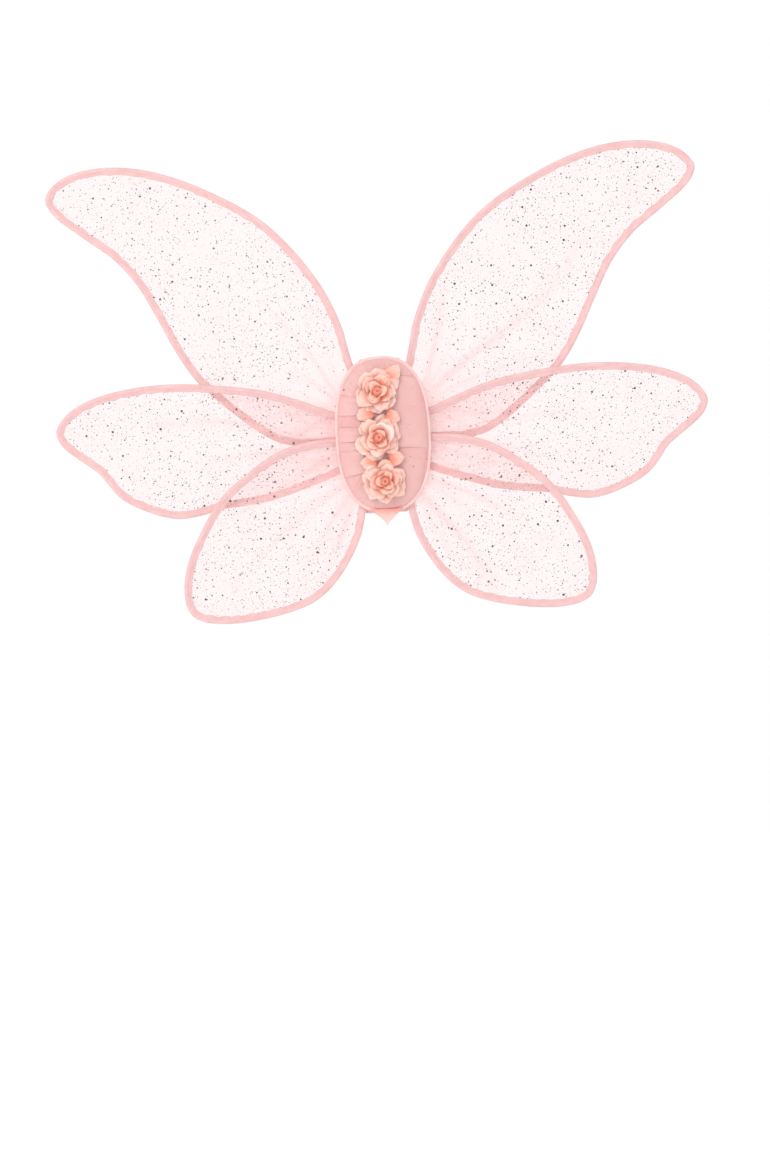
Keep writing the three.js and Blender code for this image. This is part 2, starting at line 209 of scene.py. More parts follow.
# %% [markdown]
# ## Shared effects
# Cloth is recognised by its threads and by how unevenly it takes light. Three effects are
# used by many finishes, so each is a node group: a weave that raises threads, a mottling
# that shifts a colour a little from place to place, and flecks of glitter.


# %% Node group helpers
def new_group(name, inputs, outputs):
    """A node group with named inputs, each a value or a colour, and named outputs."""
    group = bpy.data.node_groups.new(name, "ShaderNodeTree")
    for label, kind, value in inputs:
        socket = group.interface.new_socket(name=label, in_out="INPUT", socket_type=kind)
        if value is not None:
            socket.default_value = value
    for label, kind in outputs:
        group.interface.new_socket(name=label, in_out="OUTPUT", socket_type=kind)
    entry = group.nodes.new("NodeGroupInput")
    leave = group.nodes.new("NodeGroupOutput")
    return group, entry.outputs, leave.inputs


def add_node(tree, kind, settings=None, **inputs):
    """A shader node with its settings, and values or links for its inputs."""
    made = tree.nodes.new("ShaderNode" + kind)
    for key, value in (settings or {}).items():
        setattr(made, key, value)
    for key, value in inputs.items():
        socket = made.inputs[int(key[1:])] if key[0] == "i" and key[1:].isdigit() \
            else made.inputs[key.replace("_", " ")]
        if isinstance(value, bpy.types.NodeSocket):
            tree.links.new(value, socket)
        else:
            socket.default_value = value
    return made


def maths(tree, operation, first, second=0.0, clamp=False):
    made = add_node(tree, "Math", {"operation": operation, "use_clamp": clamp}, i0=first, i1=second)
    return made.outputs[0]


FLOAT, COLOUR, VECTOR = "NodeSocketFloat", "NodeSocketColor", "NodeSocketVector"
print("group helpers ready")

# %% Weave, a net of raised threads
weave_group, enter, leave = new_group(
    "Woven threads", [("Place", VECTOR, None), ("Threads per metre", FLOAT, 1500.0)],
    [("Height", FLOAT)])
spread = add_node(weave_group, "VectorMath", {"operation": "SCALE"}, i0=enter["Place"])
weave_group.links.new(enter["Threads per metre"], spread.inputs["Scale"])
axes = add_node(weave_group, "SeparateXYZ", i0=spread.outputs[0])
ridges = []
for axis in (0, 1):
    turned = maths(weave_group, "MULTIPLY", axes.outputs[axis], 2 * math.pi)
    ridges.append(maths(weave_group, "ABSOLUTE", maths(weave_group, "SINE", turned)))
weave_group.links.new(maths(weave_group, "MAXIMUM", *ridges), leave["Height"])
print("weave:", len(weave_group.nodes), "nodes")

# %% Mottling, a colour that is never quite even
mottle_group, enter, leave = new_group(
    "Uneven dye", [("Place", VECTOR, None), ("Base", COLOUR, (0.8, 0.8, 0.8, 1)),
                   ("Shade", COLOUR, (0.6, 0.6, 0.6, 1)), ("Patch size", FLOAT, 60.0)],
    [("Color", COLOUR), ("Cloud", FLOAT)])
cloud = add_node(mottle_group, "TexNoise", Vector=enter["Place"], Scale=enter["Patch size"],
                 Detail=4.0, Roughness=0.6)
soft = add_node(mottle_group, "MapRange", Value=cloud.outputs["Fac"], From_Min=0.35, From_Max=0.7)
blend_colours = add_node(mottle_group, "MixRGB", Fac=soft.outputs[0], Color1=enter["Base"],
                         Color2=enter["Shade"])
mottle_group.links.new(blend_colours.outputs[0], leave["Color"])
mottle_group.links.new(soft.outputs[0], leave["Cloud"])
print("mottling:", len(mottle_group.nodes), "nodes")

# %% Glitter, flecks of many sizes in loose clusters
glitter_group, enter, leave = new_group(
    "Glitter flecks", [("Place", VECTOR, None), ("Cells per metre", FLOAT, 120.0),
                       ("Fleck size", FLOAT, 0.1), ("Amount", FLOAT, 0.5)],
    [("Mask", FLOAT), ("Tone", FLOAT)])
cells = add_node(glitter_group, "TexVoronoi", {"voronoi_dimensions": "2D"},
                 Vector=enter["Place"], Scale=enter["Cells per metre"])
chance = add_node(glitter_group, "SeparateColor", i0=cells.outputs["Color"])
clusters = add_node(glitter_group, "TexNoise", Vector=enter["Place"], Scale=22.0, Detail=2.0)
crowd = maths(glitter_group, "MULTIPLY", clusters.outputs["Fac"], 2.0)
present = maths(glitter_group, "LESS_THAN", chance.outputs[0],
                maths(glitter_group, "MULTIPLY", enter["Amount"], crowd))
vary = maths(glitter_group, "ADD", maths(glitter_group, "MULTIPLY", chance.outputs[1], 0.6), 0.7)
own_size = maths(glitter_group, "MULTIPLY", vary, enter["Fleck size"])
inside = maths(glitter_group, "LESS_THAN", cells.outputs["Distance"], own_size)
glitter_group.links.new(maths(glitter_group, "MULTIPLY", present, inside), leave["Mask"])
glitter_group.links.new(chance.outputs[2], leave["Tone"])
print("glitter:", len(glitter_group.nodes), "nodes")

# %% [markdown]
# ## Finishes
# Each material starts from the same few steps: a place on the cloth in metres, an uneven
# dye, and a weave that feeds the bump. What differs is the thread, the sheen and how much
# of what lies behind comes through.


# %% Material helpers
def tone(red, green, blue):
    """A colour given as a screen shows it, as the shader wants it."""
    return tuple(((c / 255 + 0.055) / 1.055) ** 2.4 if c > 10 else c / 3295
                 for c in (red, green, blue)) + (1.0,)


def new_material(name, settings):
    material = bpy.data.materials.new(name)
    material.use_nodes = True
    tree = material.node_tree
    shader = tree.nodes["Principled BSDF"]
    for label, value in settings.items():
        shader.inputs[label].default_value = value
    return material, tree, shader


def place_on(tree, by_uv):
    """Metres along the cut cloth, or metres in the piece's own space."""
    source = tree.nodes.new("ShaderNodeTexCoord")
    return source.outputs["UV" if by_uv else "Object"]


def group_node(tree, group, **inputs):
    made = tree.nodes.new("ShaderNodeGroup")
    made.node_tree = group
    for key, value in inputs.items():
        socket = made.inputs[key.replace("_", " ")]
        if isinstance(value, bpy.types.NodeSocket):
            tree.links.new(value, socket)
        else:
            socket.default_value = value
    return made.outputs


def cloth(name, base, shade, threads, bump, by_uv=True, patch=60.0, crinkle=0.0, **settings):
    """A woven fabric with an uneven dye, threads and, where wanted, fine crinkles."""
    material, tree, shader = new_material(name, {key.replace("_", " "): value
                                                 for key, value in settings.items()})
    place = place_on(tree, by_uv)
    dye = group_node(tree, mottle_group, Place=place, Base=base, Shade=shade, Patch_size=patch)
    tree.links.new(dye["Color"], shader.inputs["Base Color"])
    woven = group_node(tree, weave_group, Place=place, Threads_per_metre=threads)
    height = woven["Height"]
    if crinkle > 0:
        creases = add_node(tree, "TexNoise", Vector=place, Scale=260.0, Detail=5.0, Roughness=0.65)
        height = maths(tree, "ADD", maths(tree, "MULTIPLY", height, 0.35),
                       maths(tree, "MULTIPLY", creases.outputs["Fac"], crinkle))
    raised = add_node(tree, "Bump", Height=height, Strength=bump, Distance=0.0004)
    tree.links.new(raised.outputs[0], shader.inputs["Normal"])
    return material


print("material helpers ready")

# %% Fabric finishes
casing_tape = cloth("casing tape", tone(246, 205, 204), tone(238, 186, 186), 1100, 0.5,
                    Roughness=0.62, Sheen_Weight=0.35, Sheen_Roughness=0.4)
satin = cloth("hub satin", tone(252, 205, 201), tone(246, 188, 186), 2200, 0.25,
              Roughness=0.42, Sheen_Weight=0.4, Sheen_Roughness=0.3)
binding_satin = cloth("binding satin", tone(253, 212, 208), tone(246, 192, 190), 2200, 0.35,
                      crinkle=0.5, Roughness=0.38, Sheen_Weight=0.4, Sheen_Roughness=0.3)
felt = cloth("pink felt", tone(244, 196, 193), tone(232, 176, 176), 700, 0.8, by_uv=False,
             crinkle=1.0, patch=180.0, Roughness=0.95, Sheen_Weight=0.6, Sheen_Roughness=0.7)
elastic = cloth("ribbed elastic", tone(247, 204, 202), tone(238, 184, 184), 900, 0.9,
                Roughness=0.75, Sheen_Weight=0.25)
thread = cloth("sewing thread", tone(252, 222, 219), tone(240, 198, 196), 3000, 0.4, by_uv=False,
               Roughness=0.5, Sheen_Weight=0.3)
tape = cloth("cloth tape", tone(228, 220, 212), tone(210, 200, 192), 1000, 0.6, by_uv=False,
             Roughness=0.7)
board = cloth("core board", tone(206, 196, 178), tone(188, 176, 158), 300, 0.3, by_uv=False,
              crinkle=0.6, patch=40.0, Roughness=0.85)
wadding = cloth("pink wadding", tone(250, 196, 192), tone(240, 172, 170), 1200, 0.4, by_uv=False,
                crinkle=0.8, Roughness=0.85, Sheen_Weight=0.4)
print("fabrics:", sorted(m.name for m in bpy.data.materials if m.users == 0)[:12])

# %% [markdown]
# Rose petals run from deep coral where they are sewn together to pale peach toward the rim:
# partly the cloth's own dye, partly painted shade where the petals meet deep in the flower.
# The petal meshes carry how far along the petal a point is in their UVs, so the colour and
# the painted shade follow each petal, not the flower as a whole.


# %% Petal finishes
def petal_cloth(name, root, middle, rim, petal_length):
    material, tree, shader = new_material(
        name, {"Roughness": 0.5, "Sheen Weight": 0.45, "Sheen Roughness": 0.35,
               "Subsurface Weight": 0.2, "Subsurface Radius": (0.006, 0.002, 0.0015)})
    place = place_on(tree, True)
    axes = add_node(tree, "SeparateXYZ", i0=place)
    along = maths(tree, "DIVIDE", axes.outputs[0], petal_length, clamp=True)
    wander = add_node(tree, "TexNoise", Vector=place, Scale=220.0, Detail=3.0)
    shifted = maths(tree, "ADD", along, maths(
        tree, "MULTIPLY", maths(tree, "SUBTRACT", wander.outputs["Fac"], 0.5), 0.35))
    # The ramp darkens each petal toward its root: partly the cloth's dye, partly painted shade where the
    # petals meet.
    ramp = add_node(tree, "ValToRGB", Fac=shifted)
    ramp.color_ramp.elements[0].color = root
    ramp.color_ramp.elements[0].position = 0.05
    ramp.color_ramp.elements[1].color = rim
    ramp.color_ramp.elements[1].position = 0.85
    ramp.color_ramp.elements.new(0.42).color = middle
    tree.links.new(ramp.outputs[0], shader.inputs["Base Color"])
    veins = add_node(tree, "TexNoise", {"noise_dimensions": "2D"},
                     Vector=add_node(tree, "Mapping", Vector=place, Scale=(60.0, 900.0, 1.0)).outputs[0],
                     Scale=1.0, Detail=3.0)
    woven = group_node(tree, weave_group, Place=place, Threads_per_metre=2000)
    height = maths(tree, "ADD", maths(tree, "MULTIPLY", woven["Height"], 0.25), veins.outputs["Fac"])
    raised = add_node(tree, "Bump", Height=height, Strength=0.45, Distance=0.0004)
    tree.links.new(raised.outputs[0], shader.inputs["Normal"])
    return material


# Root colours, deepest for the inner petals and the bud, carry painted shade from the middle of the flower
# as well as the cloth's coral.
CORAL, DEEP_CORAL_SHADE = tone(250, 146, 118), tone(244, 104, 74)
PEACH, PALE_PEACH = tone(251, 190, 173), tone(253, 212, 200)
outer_petal_cloth = petal_cloth("outer petals", CORAL, PEACH, PALE_PEACH, 0.017)
inner_petal_cloth = petal_cloth("inner petals", DEEP_CORAL_SHADE, tone(250, 158, 132), tone(253, 207, 190), 0.0165)
bud_cloth = petal_cloth("bud", DEEP_CORAL_SHADE, tone(250, 132, 102), tone(254, 184, 160), 0.015)
pale_petal_cloth = petal_cloth("pale petal", PEACH, tone(252, 208, 199), tone(253, 226, 219), 0.014)
PINK, SOFT_PINK, PALE_PINK = tone(250, 170, 160), tone(253, 200, 194), tone(254, 212, 208)
pink_petal_cloth = petal_cloth("pink petal", PINK, SOFT_PINK, PALE_PINK, 0.016)
print("petal finishes: 5")

# %% [markdown]
# Organza is a very open plain weave of fine glossy threads. At arm's length it is a faint
# pink veil, so most of the light passes through: that is the alpha. Glitter glued to it
# blocks the light, and looks grey against a bright wall and white against a dark one.


# %% Organza
GLITTER_SIZES = (  # cells per metre, radius as a share of a cell, share of cells with a fleck
    (58, 0.052, 0.6), (115, 0.07, 0.7), (210, 0.085, 0.75), (370, 0.09, 0.7))


def organza(name, veil, colour, shade, glitter_amount, thread_share=0.06):
    material, tree, shader = new_material(
        name, {"Roughness": 0.38, "Specular IOR Level": 0.35, "Sheen Weight": 0.15})
    place = place_on(tree, True)
    dye = group_node(tree, mottle_group, Place=place, Base=colour, Shade=shade, Patch_size=30.0)
    woven = group_node(tree, weave_group, Place=place, Threads_per_metre=1400)
    opacity = maths(tree, "ADD", maths(tree, "MULTIPLY", woven["Height"], thread_share), veil)
    doubled = add_node(tree, "Attribute", {"attribute_name": "fold"}).outputs["Fac"]
    opacity = maths(tree, "ADD", opacity, maths(tree, "MULTIPLY", doubled, 0.24))
    from_hub = add_node(tree, "VectorMath", {"operation": "LENGTH"}, Vector=place_on(tree, False))
    thinned = add_node(tree, "MapRange", {"interpolation_type": "SMOOTHSTEP"},
                       Value=from_hub.outputs["Value"])
    for socket, value in (("From Min", 0.06), ("From Max", 0.125), ("To Min", 0.22), ("To Max", 1.0)):
        thinned.inputs[socket].default_value = value
    flecks = None
    colour_out = dye["Color"]
    for cells_per_metre, size, share in GLITTER_SIZES:
        layer = group_node(tree, glitter_group, Place=place, Cells_per_metre=cells_per_metre,
                           Fleck_size=size,
                           Amount=maths(tree, "MULTIPLY", thinned.outputs["Result"],
                                        share * glitter_amount))
        bright = maths(tree, "POWER", layer["Tone"], 3.0)
        grey = maths(tree, "ADD", maths(tree, "MULTIPLY", bright, 0.75), 0.09)
        silver = add_node(tree, "CombineColor", i0=maths(tree, "MULTIPLY", grey, 1.12), i1=grey, i2=grey)
        colour_out = add_node(tree, "MixRGB", Fac=layer["Mask"], Color1=colour_out,
                              Color2=silver.outputs[0]).outputs[0]
        flecks = layer["Mask"] if flecks is None else maths(tree, "MAXIMUM", flecks, layer["Mask"])
    metal = maths(tree, "MULTIPLY", flecks, 0.75)
    tree.links.new(colour_out, shader.inputs["Base Color"])
    tree.links.new(metal, shader.inputs["Metallic"])
    tree.links.new(maths(tree, "MAXIMUM", opacity, maths(tree, "MULTIPLY", flecks, 0.95)),
                   shader.inputs["Alpha"])
    crinkles = add_node(tree, "TexNoise", Vector=place, Scale=150.0, Detail=3.0)
    raised = add_node(tree, "Bump", Height=crinkles.outputs["Fac"], Strength=0.25, Distance=0.0006)
    tree.links.new(raised.outputs[0], shader.inputs["Normal"])
    return material


wing_organza = organza("wing organza", 0.1, tone(253, 214, 212), tone(251, 198, 200), 1.0)
hub_organza = organza("hub organza", 0.62, tone(254, 208, 203), tone(250, 190, 188), 0.3, 0.12)
print("organza ready")

# %% Steel wire
wire_steel, tree, shader = new_material("drawn steel wire", {"Metallic": 1.0, "Roughness": 0.32})
place = place_on(tree, False)
dye = group_node(tree, mottle_group, Place=place, Base=(0.55, 0.56, 0.58, 1),
                 Shade=(0.38, 0.38, 0.4, 1), Patch_size=140.0)
tree.links.new(dye["Color"], shader.inputs["Base Color"])
scratches = add_node(tree, "TexNoise", Vector=place, Scale=900.0, Detail=3.0)
raised = add_node(tree, "Bump", Height=scratches.outputs["Fac"], Strength=0.2, Distance=0.0001)
tree.links.new(raised.outputs[0], shader.inputs["Normal"])
for label, material in (("wire", wire_steel), ("core_plate", board), ("tail_strip", tape)):
    kept = [node for name, node in frame["nodes"].items() if name.endswith(label)]
    for node in kept:
        node.material_slots[0].material = material
    print(label, "on", len(kept), "CAD nodes")

# %% [markdown]
# ## The wings
# A hoop is one long wire, bent by hand and pushed through a folded tape. The tape is sewn
# shut beside the wire, so its section is a round ridge with a flat hem toward the organza.
# The middle line of each wire is worked out from the CAD wire and its two tails, so tape,
# stitches and organza stay on the wire wherever it goes.


# %% Middle lines from the CAD
def ring_centres(node, width):
    """The middles of the rings of vertices that a swept solid is made of."""
    points = np.array([v.co for v in frame["nodes"][node].data.vertices])
    centres = []
    while len(points):
        near = np.linalg.norm(points - points[0], axis=1) < width
        centres.append(np.unique(points[near].round(6), axis=0).mean(axis=0))
        points = points[~near]
    return centres


def chain(points, start):
    """The points in the order that a walk from start meets them."""
    points, ordered = list(points), []
    here = np.asarray(start)
    while points:
        nearest = min(range(len(points)), key=lambda i: np.linalg.norm(points[i] - here))
        here = points.pop(nearest)
        ordered.append(here)
    return ordered


WIRE_WIDTH, TAIL_WIDTH = 2.6 * MM, 5.6 * MM


def hoop_line(label):
    tails = []
    for end in ("top", "bottom"):
        middle = np.array([0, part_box(f"{label}_tail_{end}")[0].y, 0])
        tails.append(chain(ring_centres(f"{label}_tail_{end}", TAIL_WIDTH), middle))
    wire = chain(ring_centres(f"{label}_wire", WIRE_WIDTH), tails[0][-1])
    return np.array(tails[0][1:] + wire + tails[1][:0:-1])


hoop_lines = {f"{side}_{layer}": smooth_path(hoop_line(f"{side}_{layer}"), 2.5 * MM)
              for side in SIDES for layer in LAYERS}
for label, line in hoop_lines.items():
    print(label, "wire and tails:", round(lengths_along(line, False)[-1], 3), "m")


# %% Bend lines
def bend_line(label):
    """A wing's hinge: a point on it, its direction, and the way out to the wing."""
    joint = next(j for j in frame["joints"] if j["name"] == f"{label}_fold")
    axis = Vector(joint["axis"]).normalized()
    outward = Vector((0, -1, 0)).cross(axis)
    return Vector(joint["pos_m"]), axis, outward


def follow_wing(piece):
    """Bakes the piece's place into its mesh, where it stays."""
    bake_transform(piece)


def hoop_axes(line):
    """For each point of a hoop: the way along, the way in to the organza, and the way
    toward the viewer."""
    along = np.gradient(line, axis=0)
    along /= np.linalg.norm(along, axis=1)[:, None]
    front = np.array([0, -1, 0]) - along * (along @ np.array([0, -1, 0]))[:, None]
    front /= np.linalg.norm(front, axis=1)[:, None]
    inward = np.cross(front, along)
    middle = line.mean(axis=0)
    third = len(line) // 3
    if inward[third] @ (middle - line[third]) < 0:
        inward = -inward
    return along, inward, front


print("bend lines ready")

# %% Casing tape
RIDGE = 2.15 * MM            # radius of the tape round the wire
HEM = 4.9 * MM               # from the wire to the hem's edge
HEM_THICKNESS = 0.5 * MM


def casing_section():
    """Outline of the folded tape as [in toward the organza, toward the viewer]."""
    ridge = [(RIDGE * math.cos(a), RIDGE * math.sin(a))
             for a in np.radians(np.linspace(42, 318, 11))]
    hem = [(0.62 * HEM, -1.1 * HEM_THICKNESS), (0.85 * HEM, -HEM_THICKNESS), (HEM, -0.5 * HEM_THICKNESS),
           (HEM, 0.5 * HEM_THICKNESS), (0.85 * HEM, HEM_THICKNESS), (0.62 * HEM, 1.1 * HEM_THICKNESS)]
    return np.array(ridge + hem)


def make_casing(label, line):
    _, inward, front = hoop_axes(line)
    section = casing_section()
    along = lengths_along(line, False)
    seed = sum(map(ord, label))
    width = 1 + 0.09 * slow_noise(along[:, None], 0.016, seed)
    pucker = 0.22 * MM * slow_noise(along[:, None], 0.006, seed + 1)
    rows = []
    for i, point in enumerate(line):
        on_hem = np.clip(section[:, 0] / HEM, 0, 1)
        across = section[:, 0] * np.where(section[:, 0] > 0, width[i], 1.0)
        depth = section[:, 1] + pucker[i] * on_hem
        rows.append(point + across[:, None] * inward[i] + depth[:, None] * front[i])
    piece = piece_from(f"{label}_casing_tape", [grid_data(rows, around=True, caps=True)], casing_tape)
    follow_wing(piece)
    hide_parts(f"{label}_casing", f"{label}_tail_top", f"{label}_tail_bottom")
    return piece


casings = {label: make_casing(label, line) for label, line in hoop_lines.items()}
print("casings:", sum(len(c.data.polygons) for c in casings.values()), "faces")


# %% Stitches
def stitch_part(start, end, raised, thickness):
    """One stitch as a small bowed spindle of thread between two holes."""
    start, end, raised = map(np.asarray, (start, end, raised))
    along = (end - start) / np.linalg.norm(end - start)
    sideways = np.cross(along, raised)
    rows = []
    for share, lift, fat in ((0.0, -0.6, 0.45), (0.22, 0.1, 0.9), (0.5, 0.3, 1.0),
                             (0.78, 0.1, 0.9), (1.0, -0.6, 0.45)):
        middle = start + (end - start) * share + raised * thickness * lift
        rows.append([middle + thickness * fat * (math.cos(a) * sideways + math.sin(a) * raised)
                     for a in np.linspace(0, 2 * math.pi, 6, endpoint=False)])
    return grid_data(rows, around=True, caps=True)


def stitch_row(points, raised, length, gap, thickness):
    """Stitches along a row of points, each on the surface whose normal is raised."""
    points, raised = np.asarray(points), np.asarray(raised)
    reach = lengths_along(points, False)
    parts = []
    for begin in np.arange(gap, reach[-1] - length, length + gap):
        ends = [[np.interp(at, reach, points[:, k]) for k in range(3)] for at in (begin, begin + length)]
        normal = raised[min(np.searchsorted(reach, begin), len(raised) - 1)]
        parts.append(stitch_part(*ends, normal, thickness))
    return parts


STITCH, STITCH_GAP, THREAD_RADIUS = 2.6 * MM, 1.2 * MM, 0.17 * MM
for label, line in hoop_lines.items():
    _, inward, front = hoop_axes(line)
    parts = []
    for face in (1, -1):
        row = line + 0.66 * HEM * inward + face * 1.15 * HEM_THICKNESS * front
        parts += stitch_row(row[14:-14], (face * front)[14:-14], STITCH, STITCH_GAP, THREAD_RADIUS)
    stitches = piece_from(f"{label}_casing_stitches", parts, thread)
    follow_wing(stitches)
    print(label, len(parts), "stitches")

# %% [markdown]
# The organza is cut to the hoop and held taut by it, yet it never lies quite flat: folds
# fan out from where it is gathered into the hub, and die away toward the wire. The sheet
# is triangulated finely inside its outline, then those folds are pressed into it.

# %% Organza sheets
GRID = 2.6 * MM              # near the root, and twice as much further out
FOLD_REACH = 0.075


def inside_outline(points, outline):
    """Which points lie inside a closed outline, by counting crossings."""
    inside = np.zeros(len(points), bool)
    for (x0, z0), (x1, z1) in zip(outline, np.roll(outline, -1, axis=0)):
        crosses = (z0 > points[:, 1]) != (z1 > points[:, 1])
        x_at = x0 + (points[:, 1] - z0) * (x1 - x0) / (z1 - z0 if z1 != z0 else 1e-12)
        inside ^= crosses & (points[:, 0] < x_at)
    return inside


def to_outline(points, outline):
    """Distance from each point to an open outline."""
    best = np.full(len(points), 9.0)
    for a, b in zip(outline, outline[1:]):
        step = b - a
        share = np.clip(((points - a) @ step) / max(step @ step, 1e-12), 0, 1)
        best = np.minimum(best, np.linalg.norm(points - a - share[:, None] * step, axis=1))
    return best


def folds(points, root, seed):
    """Folds that fan out from the root, in metres toward the viewer."""
    dice = np.random.default_rng(seed)
    offset = points - root
    distance = np.linalg.norm(offset, axis=1)
    angle = np.arctan2(offset[:, 1], np.abs(offset[:, 0]))
    height = np.zeros(len(points))
    for middle in np.linspace(angle.min(), angle.max(), 12)[1:-1]:
        middle += dice.uniform(-0.07, 0.07)
        width = dice.uniform(2.0, 3.6) * MM
        fade = np.exp(-(distance / (FOLD_REACH * dice.uniform(0.5, 2.2))) ** 2)
        bend = middle + 0.05 * np.sin(distance / 0.04 + dice.uniform(0, 6))
        away = distance * np.abs(np.sin(angle - bend))
        height += dice.uniform(0.5, 1.6) * MM * fade * np.exp(-away / width)
    return height


def puckers(points, outline, seed):
    """Small ripples square to the hem, where the cloth is drawn up by its stitches."""
    place, near = lengths_along(outline, False), np.full(len(points), 9.0)
    along = np.zeros(len(points))
    for start, a, b in zip(place, outline, outline[1:]):
        share = np.clip(((points - a) @ (b - a)) / max((b - a) @ (b - a), 1e-12), 0, 1)
        away = np.linalg.norm(points - a - share[:, None] * (b - a), axis=1)
        closer = away < near
        near[closer], along[closer] = away[closer], (start + share * np.linalg.norm(b - a))[closer]
    patchy = np.clip(0.4 + 0.6 * slow_noise(along[:, None], 0.12, seed + 1), 0, 1)
    return 0.5 * MM * slow_noise(along[:, None], 0.011, seed) * patchy * np.exp(-near / 0.011)


def smallest_cut(points):
    """The smallest rectangle that the flat shape can be cut from."""
    best = None
    for angle in np.radians(range(0, 90, 3)):
        turned = points @ np.array([[math.cos(angle), -math.sin(angle)],
                                    [math.sin(angle), math.cos(angle)]])
        size = np.ptp(turned, axis=0)
        if best is None or size.prod() < best.prod():
            best = size
    return sorted(best)


def make_organza(label, line):
    _, inward, _ = hoop_axes(line)
    edge = (line + 0.4 * RIDGE * inward)
    outline = edge[:, [0, 2]]
    low, high = outline.min(axis=0), outline.max(axis=0)
    hinge, _, outward = bend_line(label)
    root = np.array([0.6 * hinge.x, outline[[0, -1], 1].mean()])
    lattices = []
    for spacing, nearest, furthest in ((GRID, 0, 0.12), (2 * GRID, 0.12, 1)):
        rows = np.arange(low[1], high[1], spacing * 0.866)
        lattice = np.array([(x + (0.5 * spacing if i % 2 else 0), z) for i, z in enumerate(rows)
                            for x in np.arange(low[0], high[0], spacing)])
        away = np.linalg.norm(lattice - root, axis=1)
        lattice = lattice[(away >= nearest) & (away < furthest)]
        clear = inside_outline(lattice, outline) & (to_outline(lattice, outline) > 0.6 * spacing)
        lattices.append(lattice[clear])
    flat_points = [Vector(p) for p in np.vstack([outline] + lattices)]
    border = [(i, (i + 1) % len(outline)) for i in range(len(outline))]
    made = delaunay_2d_cdt(flat_points, border, [], 1, 1e-7)
    points = np.array([tuple(p) for p in made[0]])
    faces = [list(f) for f in made[2]]
    lean = edge[len(edge) // 2]
    slope = (lean[1] - hinge.y) / ((Vector(lean) - hinge).dot(outward))
    reach = (points - np.array([hinge.x, hinge.z])) @ np.array([outward.x, outward.z])
    free = np.clip(to_outline(points, outline) / 0.014, 0, 1)
    seed = sum(map(ord, label)) + 5
    sag = 0.9 * MM * slow_noise(points, 0.11, seed)
    raised = folds(points, root, seed) * free
    raised += puckers(points, outline, seed) * np.clip(to_outline(points, outline) / 0.004, 0, 1)
    depth = hinge.y + np.maximum(reach, 0) * slope - raised - free * sag
    vertices = np.stack([points[:, 0], depth, points[:, 1]], axis=1)
    uvs = [tuple(points[i]) for face in faces for i in face]
    piece = piece_from(f"{label}_organza_sheet", [(vertices, faces, uvs)], wing_organza)
    doubled = piece.data.attributes.new("fold", "FLOAT", "POINT")
    doubled.data.foreach_set("value", np.clip(raised / MM, 0, 1).astype(np.float32))
    thicken(piece, 0.2 * MM)
    follow_wing(piece)
    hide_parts(f"{label}_organza")
    cut = [float(size) for size in smallest_cut(outline)]
    return piece


for label, line in hoop_lines.items():
    make_organza(label, line)

# %% [markdown]
# ## The hub
# The hub is upholstered like a small cushion: felt against the back, a stiff core, a
# gathered band round the wire roots, and a pad under a pleated cover whose raw edge is
# hidden by a rolled binding. All of them follow the same boxy oval, so one function draws
# that oval for every piece, drawn in as far as each piece needs.

# %% The hub's oval
HUB_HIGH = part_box("front_binding")[1]
BOXINESS = 2.5


def hub_share(x, z, inset):
    """0 in the middle of the hub, 1 on its outline drawn in by the inset."""
    across, up = np.abs(x) / (HUB_HIGH.x - inset), np.abs(z) / (HUB_HIGH.z - inset)
    return (across ** BOXINESS + up ** BOXINESS) ** (1 / BOXINESS)


def hub_rim(inset, count):
    """Evenly spaced points on the outline, as [across, up]."""
    angle = np.linspace(0, 2 * math.pi, 9 * count)
    bend = [np.sign(f(angle)) * np.abs(f(angle)) ** (2 / BOXINESS) for f in (np.cos, np.sin)]
    dense = np.stack([(HUB_HIGH.x - inset) * bend[0], (HUB_HIGH.z - inset) * bend[1]], axis=1)
    reach = lengths_along(dense, False)
    wanted = np.linspace(0, reach[-1], count, endpoint=False)
    return np.stack([np.interp(wanted, reach, dense[:, k]) for k in (0, 1)], axis=1)


def hub_loft(profile, count):
    """Rings of the outline at each (inset, depth) of a profile."""
    return [[(x, depth, z) for x, z in hub_rim(inset, count)] for inset, depth in profile]


RIM_LENGTH = lengths_along(hub_rim(0, 200), True)[-1]
print("hub outline", round(RIM_LENGTH, 3), "m round")

# %% [markdown]
# ### Pads
# Felt is stiff, so the back pad keeps its cut edge, dented only by the stitches that hold
# it. The front pad is stuffed. A cushion finds its own shape when it is blown up a little,
# so it is cut slightly small, swollen by a short cloth simulation, and smoothed.

# %% Back pad
BACK_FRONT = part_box("back_pad")[0].y
BACK_INSET = HUB_HIGH.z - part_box("back_pad")[1].z
STITCH_LINE = 6.5 * MM       # from the pad's edge to its stitches
back_profile = [(30 * MM, 0), (BACK_INSET + STITCH_LINE + 1.6 * MM, 0),
                (BACK_INSET + STITCH_LINE + 0.6 * MM, -0.25 * MM),
                (BACK_INSET + STITCH_LINE, -0.55 * MM), (BACK_INSET + STITCH_LINE - 0.6 * MM, -0.25 * MM),
                (BACK_INSET + STITCH_LINE - 1.6 * MM, 0), (BACK_INSET + 1.4 * MM, 0),
                (BACK_INSET + 0.5 * MM, -0.35 * MM), (BACK_INSET, -1.2 * MM), (BACK_INSET, -2.5 * MM),
                (BACK_INSET, -3.8 * MM), (BACK_INSET + 0.5 * MM, -4.65 * MM),
                (BACK_INSET + 1.6 * MM, BACK_FRONT), (30 * MM, BACK_FRONT)]
back_pad = piece_from("felt_back_pad", [grid_data(hub_loft(back_profile, 200), around=True, caps=True)],
                      felt)
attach(back_pad, "hub")
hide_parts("back_pad")
rim = np.array([(x, -0.3 * MM, z) for x, z in hub_rim(BACK_INSET + STITCH_LINE, 360)])
parts = stitch_row(rim, np.tile([0.0, 1.0, 0.0], (len(rim), 1)), 3.2 * MM, 1.6 * MM, 0.3 * MM)
